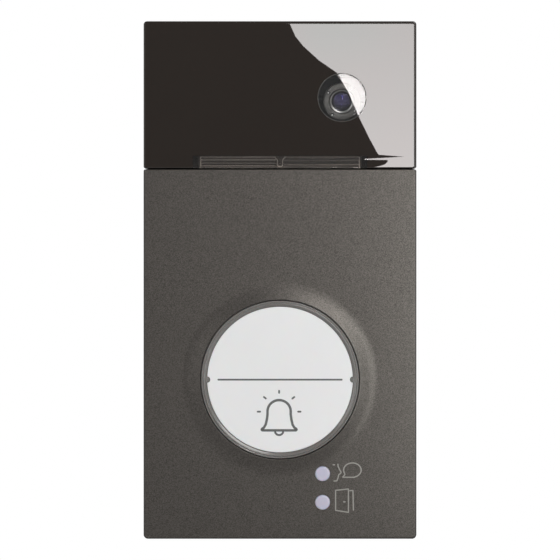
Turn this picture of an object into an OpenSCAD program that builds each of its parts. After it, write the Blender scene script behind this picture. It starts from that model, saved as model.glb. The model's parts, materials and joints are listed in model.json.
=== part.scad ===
// Video doorbell: a wall-mounted entrance panel with a camera window, a metal cover and a call button.
// X is to the right, Z is up and the front faces -Y. The wall is the plane Y = 0.
// Every piece is drawn flat, as x, height and distance from the wall, and upright() stands it up.

/* [Panel] */
// Width of the panel
body_w = 93.5; // [84:0.5:120]
// Height of the panel
body_h = 177.4; // [166:0.2:230]
// Depth from the wall to the front face
body_d = 26; // [25.5:0.5:36]
// Height of the camera window
window_h = 50.4; // [46:0.2:60]
// Gap between the camera window and the metal cover
split_gap = 0.4; // [0.4:0.1:1.2]
// Radius of the window's two top corners
top_corner_r = 1.2; // [1.2:0.1:3]
// Radius of the cover's two bottom corners
bottom_corner_r = 1.5; // [1.2:0.1:3]
// Radius of the corners on both sides of the gap
split_corner_r = 0.6; // [0.6:0.1:1.2]
// Rounding of the front edges
edge_r = 0.6; // [0.4:0.1:1]

/* [Walls] */
// Side walls of the metal cover
cover_wall = 1.8; // [1.4:0.1:2]
// Front of the metal cover
cover_front = 2; // [1.6:0.1:2.4]
// Side walls of the camera window
window_wall = 2; // [1.6:0.1:2]
// Front of the camera window
window_front = 2.2; // [1.8:0.1:2.6]
// Walls and back of the rear housing
housing_wall = 1.8; // [1.4:0.1:2]
// Plate of the front chassis
chassis_t = 2; // [1.6:0.1:2.4]
// Front and walls of the black fascia
fascia_t = 1.2; // [1:0.1:1.6]
// Distance from the wall to the back edge of the two covers
cover_back = 6; // [5.8:0.1:8]

/* [Wall fixing] */
// Thickness of the steel wall plate
plate_t = 1.5; // [1:0.1:1.6]
// Distance from the panel's edge to the wall plate's edge
plate_inset = 7.6; // [7:0.2:10]
// Radius of the wall screw holes
wall_hole_r = 2.2; // [1.8:0.1:2.6]
// Distance across between the four wall screw holes
wall_hole_x = 60; // [50:1:62]
// Distance in height between the four wall screw holes
wall_hole_z = 130; // [110:1:134]
// Length of the two slots for a flush box with screws 60 mm apart
box_slot_l = 9; // [6:0.5:12]
// Radius of the cable opening in the wall plate
cable_opening_r = 14; // [12:0.5:15]
// Distance from the split down to the middle of the cable opening
cable_from_split = 8; // [7:0.5:12]

/* [Call button] */
// Outer radius of the button's ring
button_r = 27; // [22.5:0.25:32.75]
// Width of the ring round the name disc
ring_w = 2; // [1.8:0.05:3]
// Radius of the pegs that key the name disc
peg_r = 1; // [0.5:0.05:1.1]
// Distance from the panel's bottom edge to the button's centre
button_up = 54.6; // [52:0.2:66]
// Travel of the button
button_travel = 1; // [0.6:0.1:1.1]
// Height of the name disc's face over the cover's front
disc_proud = 1.5; // [1:0.1:2]
// Height of the collar over the cover's front
collar_h = 1.5; // [1:0.1:2]
// Width of the collar's slope
collar_w = 6.5; // [4:0.5:8]
// Distance from the button's centre to each of its two switches
switch_reach = 18; // [16:0.5:19]

/* [Status lights] */
// Radius of the light pipes
pipe_r = 2.55; // [2:0.05:3]
// Distance of the light pipes from the middle of the panel
pipe_x = 14.6; // [8:0.2:18]
// Distance between the two light pipes
pipe_pitch = 9.8; // [8:0.2:11]
// Distance from the collar's edge to the middle of the upper light pipe
pipe_from_collar = 1.6; // [1.5:0.05:4]

/* [Camera] */
// Distance of the camera from the middle of the panel
camera_x = 21.2; // [21:0.2:23]
// Distance from the panel's top edge to the camera
camera_down = 26.2; // [25:0.2:27]
// Radius of the clear lens window
lens_window_r = 8.3; // [7.6:0.1:10]
// Height of the lens window over the camera window's face
lens_window_rise = 0.2; // [0.1:0.1:0.6]
// Thickness of the lens window
lens_window_t = 1.2; // [0.8:0.1:1.4]
// Outer radius of the lens bezel
bezel_r = 6.3; // [6:0.1:6.4]
// Radius of the front lens
lens_r = 3.5; // [3:0.1:3.8]
// Radius of the trunnions that the camera tilts on
trunnion_r = 1.5; // [1.2:0.1:1.6]
// Downward tilt of the camera as it is installed
camera_aim = 9; // [-10:1:15]

/* [Speaker] */
// Radius of the speaker
speaker_r = 18; // [14:0.5:18]
// Distance of the speaker from the middle of the panel
speaker_x = -14.2; // [-16:0.2:-14.2]
// Half the width of the louvred sound guide
louvre_half_w = 27.7; // [24:0.1:30]

/* [Clearances] */
// Radial clearance of running fits: plungers, guide pins and trunnions
run_gap = 0.05; // [0.02:0.01:0.1]
// Gap round the button in the cover and in its well
button_gap = 0.35; // [0.3:0.05:0.6]
// Gap between pieces that fit inside each other and do not move
fit_gap = 0.3; // [0.2:0.05:0.4]
// Gap round a piece set in a hole
set_gap = 0.1; // [0.05:0.01:0.15]

/* [Hidden] */
$fn = 64;

// Heights on the panel
split_y = body_h / 2 - window_h;
cover_top = split_y - split_gap;
camera_y = body_h / 2 - camera_down;
button_y = button_up - body_h / 2;
cable_y = split_y - cable_from_split;

// Distances from the wall, from the back to the front
seat_z = 4.6;                                  // back of the rear housing, over the wall screws' heads
housing_floor = seat_z + housing_wall;
skirt_back = 0.8;                              // the housing's skirt stops short of the wall
skirt_front = cover_back - 0.4;
standoff_h = 2.2;
board_t = 1.6;
board_z = housing_floor + standoff_h;
board_top = board_z + board_t;
chassis_z = body_d - 10;                       // back of the chassis plate
chassis_top = chassis_z + chassis_t;
seal_t = 0.8;
housing_top = chassis_z - seal_t;
cover_in = body_d - cover_front;               // inner face of the cover's front
window_in = body_d - window_front;
tape_t = 0.4;
fascia_front = window_in - tape_t;

// Outlines, as distances in from the panel's edge
skirt_in = 0.5;
tub_in = max(cover_wall, window_wall) + fit_gap + 0.1;
tub_inner = tub_in + housing_wall;
mask_in = window_wall + fit_gap;
inner_r = 2.4;                                 // corner radius of the pieces inside the covers

// Columns and bosses
column_r = 3.1;
column_inset = 8.2;
column_x = body_w / 2 - column_inset;
column_ends = body_h / 2 - column_inset;
column_mid = 4;
pilot_r = 1.25;                                // hole that a screw cuts its thread in
clear_r = 1.7;                                 // hole that a screw passes
housing_head_r = 2.7;
cover_boss_low = button_up - body_h / 2 - 37.6;
cover_boss_high = cover_top - 6;
fascia_boss_y = [split_y + 7, body_h / 2 - 17];

// The call button
disc_r = button_r - ring_w;
well_r = button_r + button_gap;                // opening in the cover
flange_r = button_r + 1.15;                    // lip that keeps the ring behind the cover
well_in_r = flange_r + button_gap;
well_out_r = well_in_r + 1.5;
disc_face = body_d + disc_proud;
disc_t = 1.6;
disc_back = disc_face - disc_t;
carrier_t = 1.6;
carrier_z = chassis_top + 3;
carrier_top = carrier_z + carrier_t;
guide_r = button_r - 5.25;
guide_pin_r = 1.5;
guide_reach = 20;
spring_reach = 14;
button_board_t = 1.6;
button_board_z = chassis_z - 2.4;
button_board_top = button_board_z + button_board_t;
switch_w = 6;
switch_top = chassis_top + 0.8;
plunger_r = 1.7;
plunger_top = carrier_z - 1;
collar_r = well_r + collar_w;
pipe_y = button_y - sqrt(pow(collar_r + pipe_from_collar, 2) - pipe_x * pipe_x);
pipe_flange_r = pipe_r + 0.8;
button_board_low = pipe_y - pipe_pitch - 2.2;
button_board_high = button_y + well_out_r - 1;
terminal_y = button_board_high + 8;

// The camera, about its tilt axis
pivot_z = body_d - 11.3;
camera_half = 7.5;
bracket_gap = 0.5;
bracket_arm = 2;
bezel_back = 5.5;
bezel_front = 8.3;
camera_hole_r = lens_window_r + 1.6;
camera_room_r = 11.6;

// Microphone, in the room behind the cover's bottom wall
microphone_x = -12;
microphone_z = (chassis_top + cover_in) / 2;
microphone_r = 2;

// ---------- helpers ----------

// Stands up what is drawn as x, height and distance from the wall
module upright() { rotate([90, 0, 0]) children(); }

// Rounded outline of width w from y0 to y1, with radius r0 below and r1 above
module outline(w, y0, y1, r0, r1) {
    middle = (y0 + y1) / 2;
    translate([-w / 2, y0 + r0]) square([w, y1 - r1 - y0 - r0]);
    translate([-w / 2 + r0, y0]) square([w - 2 * r0, middle - y0]);
    translate([-w / 2 + r1, middle]) square([w - 2 * r1, y1 - middle]);
    for (side = [-1, 1]) {
        translate([side * (w / 2 - r0), y0 + r0]) circle(r0);
        translate([side * (w / 2 - r1), y1 - r1]) circle(r1);
    }
}

// Slab of the panel's outline, set in by a distance all round
module slab(inset, z0, z1, r = inner_r) {
    translate([0, 0, z0]) linear_extrude(z1 - z0)
        outline(body_w - 2 * inset, inset - body_h / 2, body_h / 2 - inset, r, r);
}

// Flat ring of the panel's outline between two insets
module frame_ring(outer, inner, z0, z1) {
    difference() {
        slab(outer, z0, z1);
        slab(inner, z0 - 1, z1 + 1);
    }
}

// Section of a front cover with rounded front edges: a long way l, from z0 to the front
module front_section(l, z0) {
    translate([-l / 2, z0]) square([l, body_d - edge_r - z0]);
    translate([-l / 2 + edge_r, z0]) square([l - 2 * edge_r, body_d - z0]);
    for (side = [-1, 1]) translate([side * (l / 2 - edge_r), body_d - edge_r]) circle(edge_r);
}

// Solid cover between two heights, its front edges rounded
module cover_block(y0, y1, r0, r1) {
    intersection() {
        translate([0, 0, cover_back]) linear_extrude(body_d) outline(body_w, y0, y1, r0, r1);
        translate([0, y1 + 1, 0]) rotate([90, 0, 0]) linear_extrude(y1 - y0 + 2)
            front_section(body_w, cover_back);
        translate([-body_w / 2 - 1, (y0 + y1) / 2, 0]) rotate([90, 0, 90])
            linear_extrude(body_w + 2) front_section(y1 - y0, cover_back);
    }
}

// Places a child on each column, left and right, at the heights given
module at_columns(heights) {
    for (side = [-1, 1]) for (y = heights) translate([side * column_x, y, 0]) children();
}

// Block centred on x and y, from z0 to z1
module block(w, h, z0, z1) {
    translate([-w / 2, -h / 2, z0]) cube([w, h, z1 - z0]);
}

// Disc or tube from z0 to z1
module rod(r, z0, z1) {
    translate([0, 0, z0]) cylinder(r = r, h = z1 - z0);
}
module tube(r_out, r_in, z0, z1) {
    difference() {
        rod(r_out, z0, z1);
        rod(r_in, z0 - 1, z1 + 1);
    }
}

// Screw along +Z with its head below z = 0 and a hexagon socket in the head
module screw(r, l, head_r, head_h) {
    difference() {
        union() {
            cylinder(r = r, h = l);
            translate([0, 0, -head_h]) cylinder(r = head_r, h = head_h);
        }
        translate([0, 0, -head_h - 1]) cylinder(r = head_r * 0.5, h = 1 + head_h * 0.6, $fn = 6);
    }
}

// ---------- wall fixing ----------

hook_x = 20;
hook_y = body_h / 2 - plate_inset - 2.2;
hook_w = 10;
tab_y = 3.4 + tub_inner - body_h / 2;
tab_w = 12;
tab_z = board_top + 0.6;
tab_top = tab_z + 2.4;
security_seat = 1.1;                           // depth of the head's recess in the cover's bottom wall
security_head_r = 2.4;

module wall_hole(y) {
    for (side = [-1, 1]) translate([side * wall_hole_x / 2, y, -1])
        cylinder(r = wall_hole_r, h = plate_t + 2);
}

module box_slot() {
    reach = box_slot_l / 2 - wall_hole_r;
    for (side = [-1, 1]) translate([side * wall_hole_x / 2, cable_y, -1]) linear_extrude(plate_t + 2) {
        square([2 * reach, 2 * wall_hole_r], center = true);
        for (end = [-1, 1]) translate([end * reach, 0]) circle(wall_hole_r);
    }
}

module wall_plate() color("lightsteelblue") upright() {
    difference() {
        slab(plate_inset, 0, plate_t, 4);
        wall_hole(wall_hole_z / 2);
        wall_hole(-wall_hole_z / 2);
        box_slot();
        translate([0, cable_y, -1]) cylinder(r = cable_opening_r, h = plate_t + 2);
    }
    // hooks that the housing hangs on
    for (side = [-1, 1]) translate([side * hook_x, hook_y, 0]) {
        translate([-hook_w / 2, 0, plate_t]) cube([hook_w, plate_t, housing_floor + 1.9 - plate_t]);
        translate([-hook_w / 2, 0, housing_floor + 0.4]) cube([hook_w, 3.6, plate_t]);
    }
    // tab for the security screw
    difference() {
        translate([-tab_w / 2, tab_y, plate_t]) cube([tab_w, plate_t, tab_top - plate_t]);
        translate([0, tab_y - 1, tab_z]) rotate([-90, 0, 0]) cylinder(r = pilot_r, h = plate_t + 2);
    }
}

module wall_seal() color("dimgray") upright()
    frame_ring(tub_in + 0.6, column_inset - housing_head_r - fit_gap, 0, seat_z);

// ---------- rear housing ----------

module rear_housing() color("#2b2a29") upright() difference() {
    union() {
        difference() {
            union() {
                slab(tub_in, seat_z, housing_top);
                frame_ring(skirt_in, tub_in + 0.5, skirt_back, skirt_front);
            }
            slab(tub_inner, housing_floor, housing_top + 1);
        }
        at_columns([-column_ends, column_mid, column_ends]) rod(column_r, housing_floor, housing_top);
        board_posts() rod(2.6, housing_floor, board_z);
    }
    at_columns([-column_ends, column_mid, column_ends]) rod(clear_r, seat_z - 1, housing_top + 1);
    board_posts() rod(1, seat_z + 0.6, board_z + 1);
    translate([0, cable_y, seat_z - 1]) cylinder(r = grommet_r, h = housing_wall + 2);
    // slots for the wall plate's hooks and tab
    for (side = [-1, 1]) translate([side * hook_x, hook_y + 1.3, 0])
        block(hook_w + 1, 5.2, seat_z - 1, housing_floor + 1);
    translate([0, tab_y + plate_t / 2, 0]) block(tab_w + 1, plate_t + 1, seat_z - 1, housing_floor + 1);
    // way for the security screw through the bottom wall
    translate([0, tub_in - body_h / 2 - 1, tab_z]) rotate([-90, 0, 0])
        cylinder(r = clear_r, h = housing_wall + 2);
}

grommet_r = 9;
module cable_grommet() color("#1c1c1c") upright() translate([0, cable_y, 0]) rotate_extrude()
    polygon([
        [0, seat_z + 0.5], [3, seat_z + 0.5], [5, seat_z - 1.2], [grommet_r + 1.6, seat_z - 1.2],
        [grommet_r + 1.6, seat_z], [grommet_r, seat_z], [grommet_r, housing_floor],
        [grommet_r + 1.4, housing_floor], [grommet_r + 0.8, housing_floor + 1.2],
        [5.4, housing_floor + 1.2], [3, seat_z + 1.2], [0, seat_z + 1.2]
    ]);

module housing_seal() color("slategray") upright() difference() {
    frame_ring(tub_in + 0.3, tub_inner - 0.3, housing_top, chassis_z);
    at_columns([-column_ends, column_mid, column_ends]) rod(column_r + 0.2, housing_top - 1, chassis_z + 1);
}

module housing_screws() color("silver") upright()
    at_columns([-column_ends, column_mid, column_ends]) translate([0, 0, seat_z])
        screw(pilot_r, chassis_top + 2.4 - seat_z, housing_head_r, 2);

module security_screw() color("silver") upright()
    translate([0, security_seat - body_h / 2, tab_z]) rotate([-90, 0, 0])
        screw(pilot_r, tab_y + plate_t + 1 + body_h / 2 - security_seat, security_head_r, 1);

// ---------- main board ----------

board_in = tub_inner + 1.2;
board_low = board_in + 6.6 - body_h / 2;
board_high = hook_y - 2.6;
board_w = body_w - 2 * board_in;
post_x = board_w / 2 - 3.4;

module board_posts() {
    for (side = [-1, 1]) for (y = [board_low + 12, board_high - 30])
        translate([side * post_x, y, 0]) children();
}

module main_board() color("darkgreen") upright() difference() {
    translate([0, (board_low + board_high) / 2, 0]) block(board_w, board_high - board_low, board_z, board_top);
    at_columns([-column_ends, column_mid, column_ends]) rod(column_r + 0.6, board_z - 1, board_top + 1);
    board_posts() rod(1.1, board_z - 1, board_top + 1);
    // room for the cable and for the back of the camera
    translate([0, cable_y, board_z - 1]) cylinder(r = grommet_r + 2.5, h = board_t + 2);
    translate([camera_x, camera_y, 0]) block(25, 27, board_z - 1, board_top + 1);
}

module board_screws() color("silver") upright() board_posts() translate([0, 0, board_top])
    mirror([0, 0, 1]) screw(1, board_t + standoff_h - 0.4, 1.9, 1.2);

terminal_w = 50;
terminal_d = 9;
terminal_top = chassis_z - 0.6;
terminal_ways = 8;
terminal_pitch = 6;

module at_ways() {
    for (i = [0 : terminal_ways - 1])
        translate([(i - (terminal_ways - 1) / 2) * terminal_pitch, terminal_y, 0]) children();
}

module terminal_block() color("seagreen") upright() difference() {
    translate([0, terminal_y, 0]) block(terminal_w, terminal_d, board_top, terminal_top);
    at_ways() {
        rod(1.6, board_top + 1.4, terminal_top + 1);
        translate([0, terminal_d / 2, 0]) block(3, 3, board_top + 0.8, board_top + 3.2);
    }
}

module terminal_screws() color("silver") upright() at_ways() difference() {
    rod(1.5, board_top + 1.5, terminal_top - 0.4);
    block(2.4, 0.5, terminal_top - 1.1, terminal_top + 1);
}

module jumper_socket() color("#3a3a3a") upright() difference() {
    translate([-board_w / 2 + 13, cable_y + 6, 0]) block(16, 5.2, board_top, board_top + 3.4);
    for (i = [0 : 5]) translate([-board_w / 2 + 6.75 + i * 2.5, cable_y + 6, 0])
        block(1.4, 3.4, board_top + 1, board_top + 4);
}

module capacitors() color("#3b4450") upright()
    for (y = [cable_y + 8, cable_y - 2]) translate([board_w / 2 - 10, y, board_top]) {
        cylinder(r = 4, h = 4.6);
        translate([-4.4, -4.4, 0]) cube([8.8, 8.8, 0.6]);
    }

chips_y = button_y + 2;
module power_coil() color("#55504a") upright() translate([22, chips_y - 22, 0]) {
    block(8, 8, board_top, board_top + 0.8);
    rod(3.7, board_top, board_top + 2.6);
}

module shield_can() color("gainsboro") upright() translate([-6, chips_y - 4, 0]) difference() {
    block(26, 22, board_top, board_top + 2.4);
    block(25.4, 21.4, board_top - 1, board_top + 2.1);
}

module processor() color("#222222") upright() translate([-6, chips_y - 4, 0])
    block(14, 14, board_top, board_top + 1.4);

module board_connector() color("ivory") upright() translate([0, chips_y + 18, 0])
    block(22, 4.4, board_top, button_board_z);

// ---------- front chassis ----------

speaker_y = camera_y - 0.5;
grille_r = 13;

module light_holes() {
    for (a = [30 : 60 : 330]) translate([10 * cos(a), button_y + 10 * sin(a), 0]) children();
}
module at_guides() {
    for (side = [-1, 1]) translate([side * guide_reach, button_y, 0]) children();
}
module at_switches() {
    for (side = [-1, 1]) translate([0, button_y + side * switch_reach, 0]) children();
}
module at_springs() {
    for (sx = [-1, 1]) for (sy = [-1, 1])
        translate([sx * spring_reach, button_y + sy * spring_reach, 0]) children();
}
module at_pipes() {
    for (y = [pipe_y, pipe_y - pipe_pitch]) translate([pipe_x, y, 0]) children();
}

module front_chassis() color("#262626") upright() difference() {
    union() {
        slab(tub_in, chassis_z, chassis_top);
        translate([0, button_y, 0]) rod(well_out_r, chassis_z, cover_in);
        at_columns([-column_ends, column_mid, column_ends]) rod(2.8, chassis_z, chassis_top + 3);
        at_pipes() rod(pipe_r + 2, chassis_z, cover_in - 1.2);
    }
    difference() {
        translate([0, button_y, 0]) rod(well_in_r, chassis_top, cover_in + 1);
        at_guides() rod(3, chassis_z, carrier_z - button_travel - 0.1);
    }
    at_guides() rod(guide_pin_r + run_gap, chassis_z - 1, body_d);
    at_switches() block(switch_w + 1, switch_w + 1, chassis_z - 1, chassis_top + 1);
    light_holes() rod(2.3, chassis_z - 1, chassis_top + 1);
    at_columns([-column_ends, column_mid, column_ends]) rod(pilot_r, chassis_z - 1, chassis_top + 4);
    at_columns([cover_boss_low, cover_boss_high, fascia_boss_y[0], fascia_boss_y[1]])
        rod(clear_r, chassis_z - 1, chassis_top + 1);
    at_pipes() rod(pipe_r + set_gap, chassis_z - 1, cover_in);
    translate([camera_x, camera_y, 0]) {
        rod(camera_room_r, chassis_z - 1, chassis_top + 1);
        at_bracket_screws() rod(1, chassis_z - 1, chassis_top - 0.4);
    }
    // grille over the speaker
    for (i = [-2 : 2]) translate([speaker_x, speaker_y + i * 4.6, 0])
        block(2 * sqrt(grille_r * grille_r - pow(i * 4.6, 2)), 2, chassis_z - 1, chassis_top + 1);
    button_board_holes() rod(1, chassis_z - 1, chassis_top - 0.4);
}

module front_screws() color("silver") upright() {
    at_columns([cover_boss_low, cover_boss_high]) translate([0, 0, chassis_z])
        screw(pilot_r, chassis_t + 4, 2.6, 1.8);
    at_columns(fascia_boss_y) translate([0, 0, chassis_z]) screw(pilot_r, chassis_t + 3, 2.6, 1.8);
}

// ---------- front cover and window ----------

// Share of the collar's slope that is a straight cone; the rest eases into the front
cone_share = 0.45;
module collar() {
    steps = 12;
    lip = 0.15;
    fall = [for (i = [0 : steps]) let (t = i / steps, drop = 2 / (1 + cone_share))
        [well_r + lip + (collar_w - lip) * t, body_d + collar_h
            * (t < cone_share ? 1 - drop * t : drop * pow(1 - t, 2) / (2 - 2 * cone_share))]];
    translate([0, button_y, 0]) rotate_extrude() polygon(concat(
        [[well_r, cover_in], [well_r, body_d + collar_h - lip]], fall, [[collar_r, cover_in]]));
}

module front_cover() color("#57524e") upright() difference() {
    union() {
        difference() {
            cover_block(-body_h / 2, cover_top, bottom_corner_r, split_corner_r);
            translate([0, 0, cover_back - 1]) linear_extrude(cover_in - cover_back + 1)
                outline(body_w - 2 * cover_wall, cover_wall - body_h / 2, cover_top - cover_wall, 0.8, 0.8);
            translate([0, cover_top, 0]) block(body_w - 2 * cover_wall, 4 * cover_wall, cover_back - 1, chassis_top + 0.6);
        }
        collar();
        at_columns([cover_boss_low, cover_boss_high]) rod(2.8, chassis_top, cover_in + 0.5);
    }
    at_columns([cover_boss_low, cover_boss_high]) rod(pilot_r, chassis_top - 1, cover_in - 0.6);
    translate([0, button_y, 0]) rod(well_r, cover_in - 1, body_d + collar_h + 1);
    at_pipes() rod(pipe_r + set_gap, cover_in - 1, body_d + 1);
    // seat and way of the security screw, and the microphone's hole
    translate([0, -body_h / 2, tab_z]) rotate([-90, 0, 0]) {
        translate([0, 0, -1]) cylinder(r = clear_r, h = cover_wall + 2);
        translate([0, 0, -1]) cylinder(r = security_head_r + 0.3, h = 1 + security_seat);
    }
    translate([microphone_x, -body_h / 2 - 1, microphone_z]) rotate([-90, 0, 0])
        cylinder(r = 0.7, h = cover_wall + 2);
}

module camera_window() color("#1b1817") upright() difference() {
    cover_block(split_y, body_h / 2, split_corner_r, top_corner_r);
    translate([0, 0, cover_back - 1]) linear_extrude(window_in - cover_back + 1)
        outline(body_w - 2 * window_wall, split_y - 5, body_h / 2 - window_wall, 0.8, 0.8);
    translate([camera_x, camera_y, 0]) rod(lens_window_r + set_gap / 2, window_in - 1, body_d + 1);
}

module mask_outline(inset, low) {
    outline(body_w - 2 * inset, low, body_h / 2 - inset, 0.8, 0.8);
}

band_top = split_y + 4.4;
mask_low = split_y + 0.3;

module window_tape() color("black") upright() difference() {
    translate([0, 0, fascia_front]) linear_extrude(tape_t) mask_outline(mask_in, mask_low);
    translate([0, 0, fascia_front - 1]) linear_extrude(tape_t + 2)
        mask_outline(mask_in + 3, band_top + 2.5);
    translate([0, split_y, 0]) block(2 * louvre_half_w + 0.6, 2 * (band_top - split_y), fascia_front - 1, body_d);
}

module camera_fascia() color("#121212") upright() difference() {
    union() {
        difference() {
            translate([0, 0, chassis_top]) linear_extrude(fascia_front - chassis_top)
                mask_outline(mask_in, mask_low);
            translate([0, 0, chassis_top - 1]) linear_extrude(fascia_front - chassis_top - fascia_t + 1)
                mask_outline(mask_in + fascia_t, mask_low + fascia_t);
        }
        at_columns(fascia_boss_y) rod(2.8, chassis_top, fascia_front - 0.2);
    }
    at_columns(fascia_boss_y) rod(pilot_r, chassis_top - 1, fascia_front - fascia_t);
    translate([camera_x, camera_y, 0]) rod(camera_hole_r, chassis_top - 1, body_d);
    translate([0, split_y, 0]) block(2 * louvre_half_w + 0.6, 2 * (band_top - split_y), chassis_top - 1, body_d);
}

module sound_guide() color("#34322f") upright() {
    low = mask_low;
    // channel of two rails and two ends, open to the back and the front
    for (y = [low, band_top - 1.2]) translate([-louvre_half_w, y, chassis_top])
        cube([2 * louvre_half_w, 0.8, fascia_front - chassis_top]);
    for (side = [-1, 1]) translate([side * (louvre_half_w - 0.4), (low + band_top - 0.4) / 2, 0])
        block(0.8, band_top - 0.4 - low, chassis_top, fascia_front);
    // louvres, and the clip in the middle
    for (y = [low + 1.5, low + 2.4]) translate([-louvre_half_w, y, chassis_top + 0.6])
        cube([2 * louvre_half_w, 0.3, fascia_front - chassis_top - 1.6]);
    difference() {
        translate([0, (low + band_top) / 2 - 0.2, 0])
            block(2.2, band_top - 0.4 - low, chassis_top, fascia_front - 0.3);
        translate([0, (low + band_top) / 2 + 0.4, 0]) block(0.8, 2.4, chassis_top - 1, body_d);
    }
}

// ---------- camera ----------

module lens_window() color("lightcyan") upright() translate([camera_x, camera_y, 0]) rotate_extrude() {
    in_r = lens_window_r - lens_window_t;
    top = body_d + lens_window_rise;
    flange = camera_hole_r - set_gap;
    polygon([[in_r, fascia_front - 0.8], [flange, fascia_front - 0.8], [flange, window_in],
        [lens_window_r, window_in], [lens_window_r, top - 0.2], [lens_window_r - 0.2, top], [0, top],
        [0, top - lens_window_t], [in_r, top - lens_window_t]]);
}

arm_in = camera_half + bracket_gap;
arm_out = arm_in + bracket_arm;

bracket_reach = 13.2;
bracket_back = chassis_z - 1.6;

module at_bracket_screws() {
    for (side = [-1, 1]) translate([0, side * bracket_reach, 0]) children();
}

module camera_bracket() color("#303030") upright() translate([camera_x, camera_y, 0]) difference() {
    union() {
        difference() {
            block(2 * arm_out + 5, 2 * bracket_reach + 4.6, bracket_back, chassis_z);
            block(2 * arm_in, 21, chassis_z - 3, chassis_z + 1);
        }
        for (side = [-1, 1]) translate([side * (arm_in + bracket_arm / 2), 0, 0])
            block(bracket_arm, 7, pivot_z - 2.8, chassis_z);
    }
    translate([-arm_out - 1, 0, pivot_z]) rotate([0, 90, 0])
        cylinder(r = trunnion_r + run_gap, h = 2 * arm_out + 2);
    at_bracket_screws() rod(1.1, bracket_back - 1, chassis_z + 1);
}

module bracket_screws() color("silver") upright() translate([camera_x, camera_y, 0]) at_bracket_screws()
    translate([0, 0, bracket_back]) screw(1, chassis_top - 0.6 - bracket_back, 1.9, 1.2);

// Places a child on the camera's own axes, tilted as it is installed
module aimed() {
    upright() translate([camera_x, camera_y, pivot_z]) rotate([camera_aim, 0, 0]) children();
}

module camera_body() color("#1f1f1f") aimed() difference() {
    union() {
        block(2 * camera_half, 2 * camera_half, -3.2, 1);
        rod(5.2, 0, bezel_back);
        translate([-arm_out + 0.2, 0, 0]) rotate([0, 90, 0])
            cylinder(r = trunnion_r, h = 2 * arm_out - 0.4);
    }
    rod(4.05, -4, bezel_back + 1);
}

module sensor_board() color("darkgreen") aimed() {
    block(14.4, 14.4, -4.2, -3.2);
    block(5.4, 5.4, -3.2, -2.3);
}

module lens_barrel() color("#0d0d0d") aimed() difference() {
    rod(4, -2.2, 7.2);
    rod(2.4, -3, 5.2);
    translate([0, 0, 5.2]) cylinder(r1 = lens_r - 1, r2 = lens_r, h = 1);
    rod(lens_r, 6.2, 8);
}

module front_lens() color("#2a2350") aimed() rotate_extrude() {
    steps = 8;
    bulge = 1.1;
    cap_r = (lens_r * lens_r + bulge * bulge) / (2 * bulge);
    polygon(concat([[0, 6.2], [lens_r, 6.2]], [for (i = [steps : -1 : 0]) let (x = lens_r * i / steps)
        [x, 6.5 + bulge - cap_r + sqrt(cap_r * cap_r - x * x)]]));
}

led_reach = 5.5;
module at_leds() {
    for (a = [55 : 90 : 325]) translate([led_reach * cos(a), led_reach * sin(a), 0]) children();
}

module camera_bezel() color("#6b6763") aimed() difference() {
    rotate_extrude() polygon([[4.2, bezel_back], [bezel_r, bezel_back], [bezel_r, bezel_front - 0.4],
        [bezel_r - 0.4, bezel_front], [4.8, bezel_front], [4.2, bezel_front - 0.5]]);
    at_leds() rod(0.72, bezel_back + 1, bezel_front + 1);
}

module bezel_leds() color("white") aimed() at_leds() rod(0.66, bezel_back + 1, bezel_front + 0.05);

// Flat flexible lead from the back of the sensor board, in a slack bend down to the main board
flex_w = 6;
flex_t = 0.25;
flex_end = -17;
module camera_flex() color("goldenrod") upright() translate([camera_x, camera_y, 0]) {
    back = pivot_z - 5.15;
    rest = board_top + 0.1 + flex_t;
    points = [[-2.5, back], [-6.6, back - 0.7], [-8.2, back - 1.2], [-9.6, back - 1], [-11, back - 0.1],
        [-12.2, rest + 0.1], [-13.4, rest], [flex_end, rest]];
    translate([-flex_w / 2, 0, 0]) rotate([90, 0, 90]) linear_extrude(flex_w)
        polygon(concat(points, [for (i = [len(points) - 1 : -1 : 0]) points[i] + [0, -flex_t]]));
}

module flex_connector() color("ivory") upright() translate([camera_x, camera_y + flex_end - 1.3, 0])
    block(flex_w + 1.6, 2.5, board_top, board_top + 1.1);

// ---------- speaker and microphone ----------

speaker_z = chassis_z - 0.6;

module at_speaker() {
    upright() translate([speaker_x, speaker_y, 0]) children();
}

module speaker_gasket() color("#444444") at_speaker() tube(speaker_r, speaker_r - 2.4, speaker_z, chassis_z);

module speaker_basket() color("#5c5c5c") at_speaker() rotate_extrude() polygon([
    [9, speaker_z - 4.2], [12.2, speaker_z - 4.2], [speaker_r - 0.8, speaker_z - 1], [speaker_r, speaker_z - 1],
    [speaker_r, speaker_z], [speaker_r - 2, speaker_z], [speaker_r - 2.4, speaker_z - 0.8],
    [12, speaker_z - 3.2], [9, speaker_z - 3.2]]);

module speaker_cone() color("#8a8174") at_speaker() rotate_extrude() polygon([
    [0, speaker_z - 1.2], [2.2, speaker_z - 1.4], [4, speaker_z - 2], [5, speaker_z - 2.2],
    [12, speaker_z - 1.4], [14, speaker_z - 0.7], [speaker_r - 2.5, speaker_z - 0.7],
    [speaker_r - 2.5, speaker_z - 0.5], [14, speaker_z - 0.5], [12, speaker_z - 1.2], [5, speaker_z - 2],
    [4, speaker_z - 1.8], [2.2, speaker_z - 1.2], [0, speaker_z - 1]]);

module speaker_magnet() color("silver") at_speaker() rod(8.9, max(board_top + 0.2, speaker_z - 5), speaker_z - 2.6);

module at_microphone() {
    upright() translate([microphone_x, cover_wall - body_h / 2, microphone_z]) rotate([-90, 0, 0]) children();
}

module microphone_boot() color("#333333") at_microphone() difference() {
    rod(microphone_r + 0.8, 0.1, 4.8);
    rod(microphone_r, 1, 4);
    rod(0.8, -1, 2);
    rod(1.2, 3, 6);
}

module microphone() color("gold") at_microphone() rod(microphone_r, 1, 4);

// ---------- button electronics ----------

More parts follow.
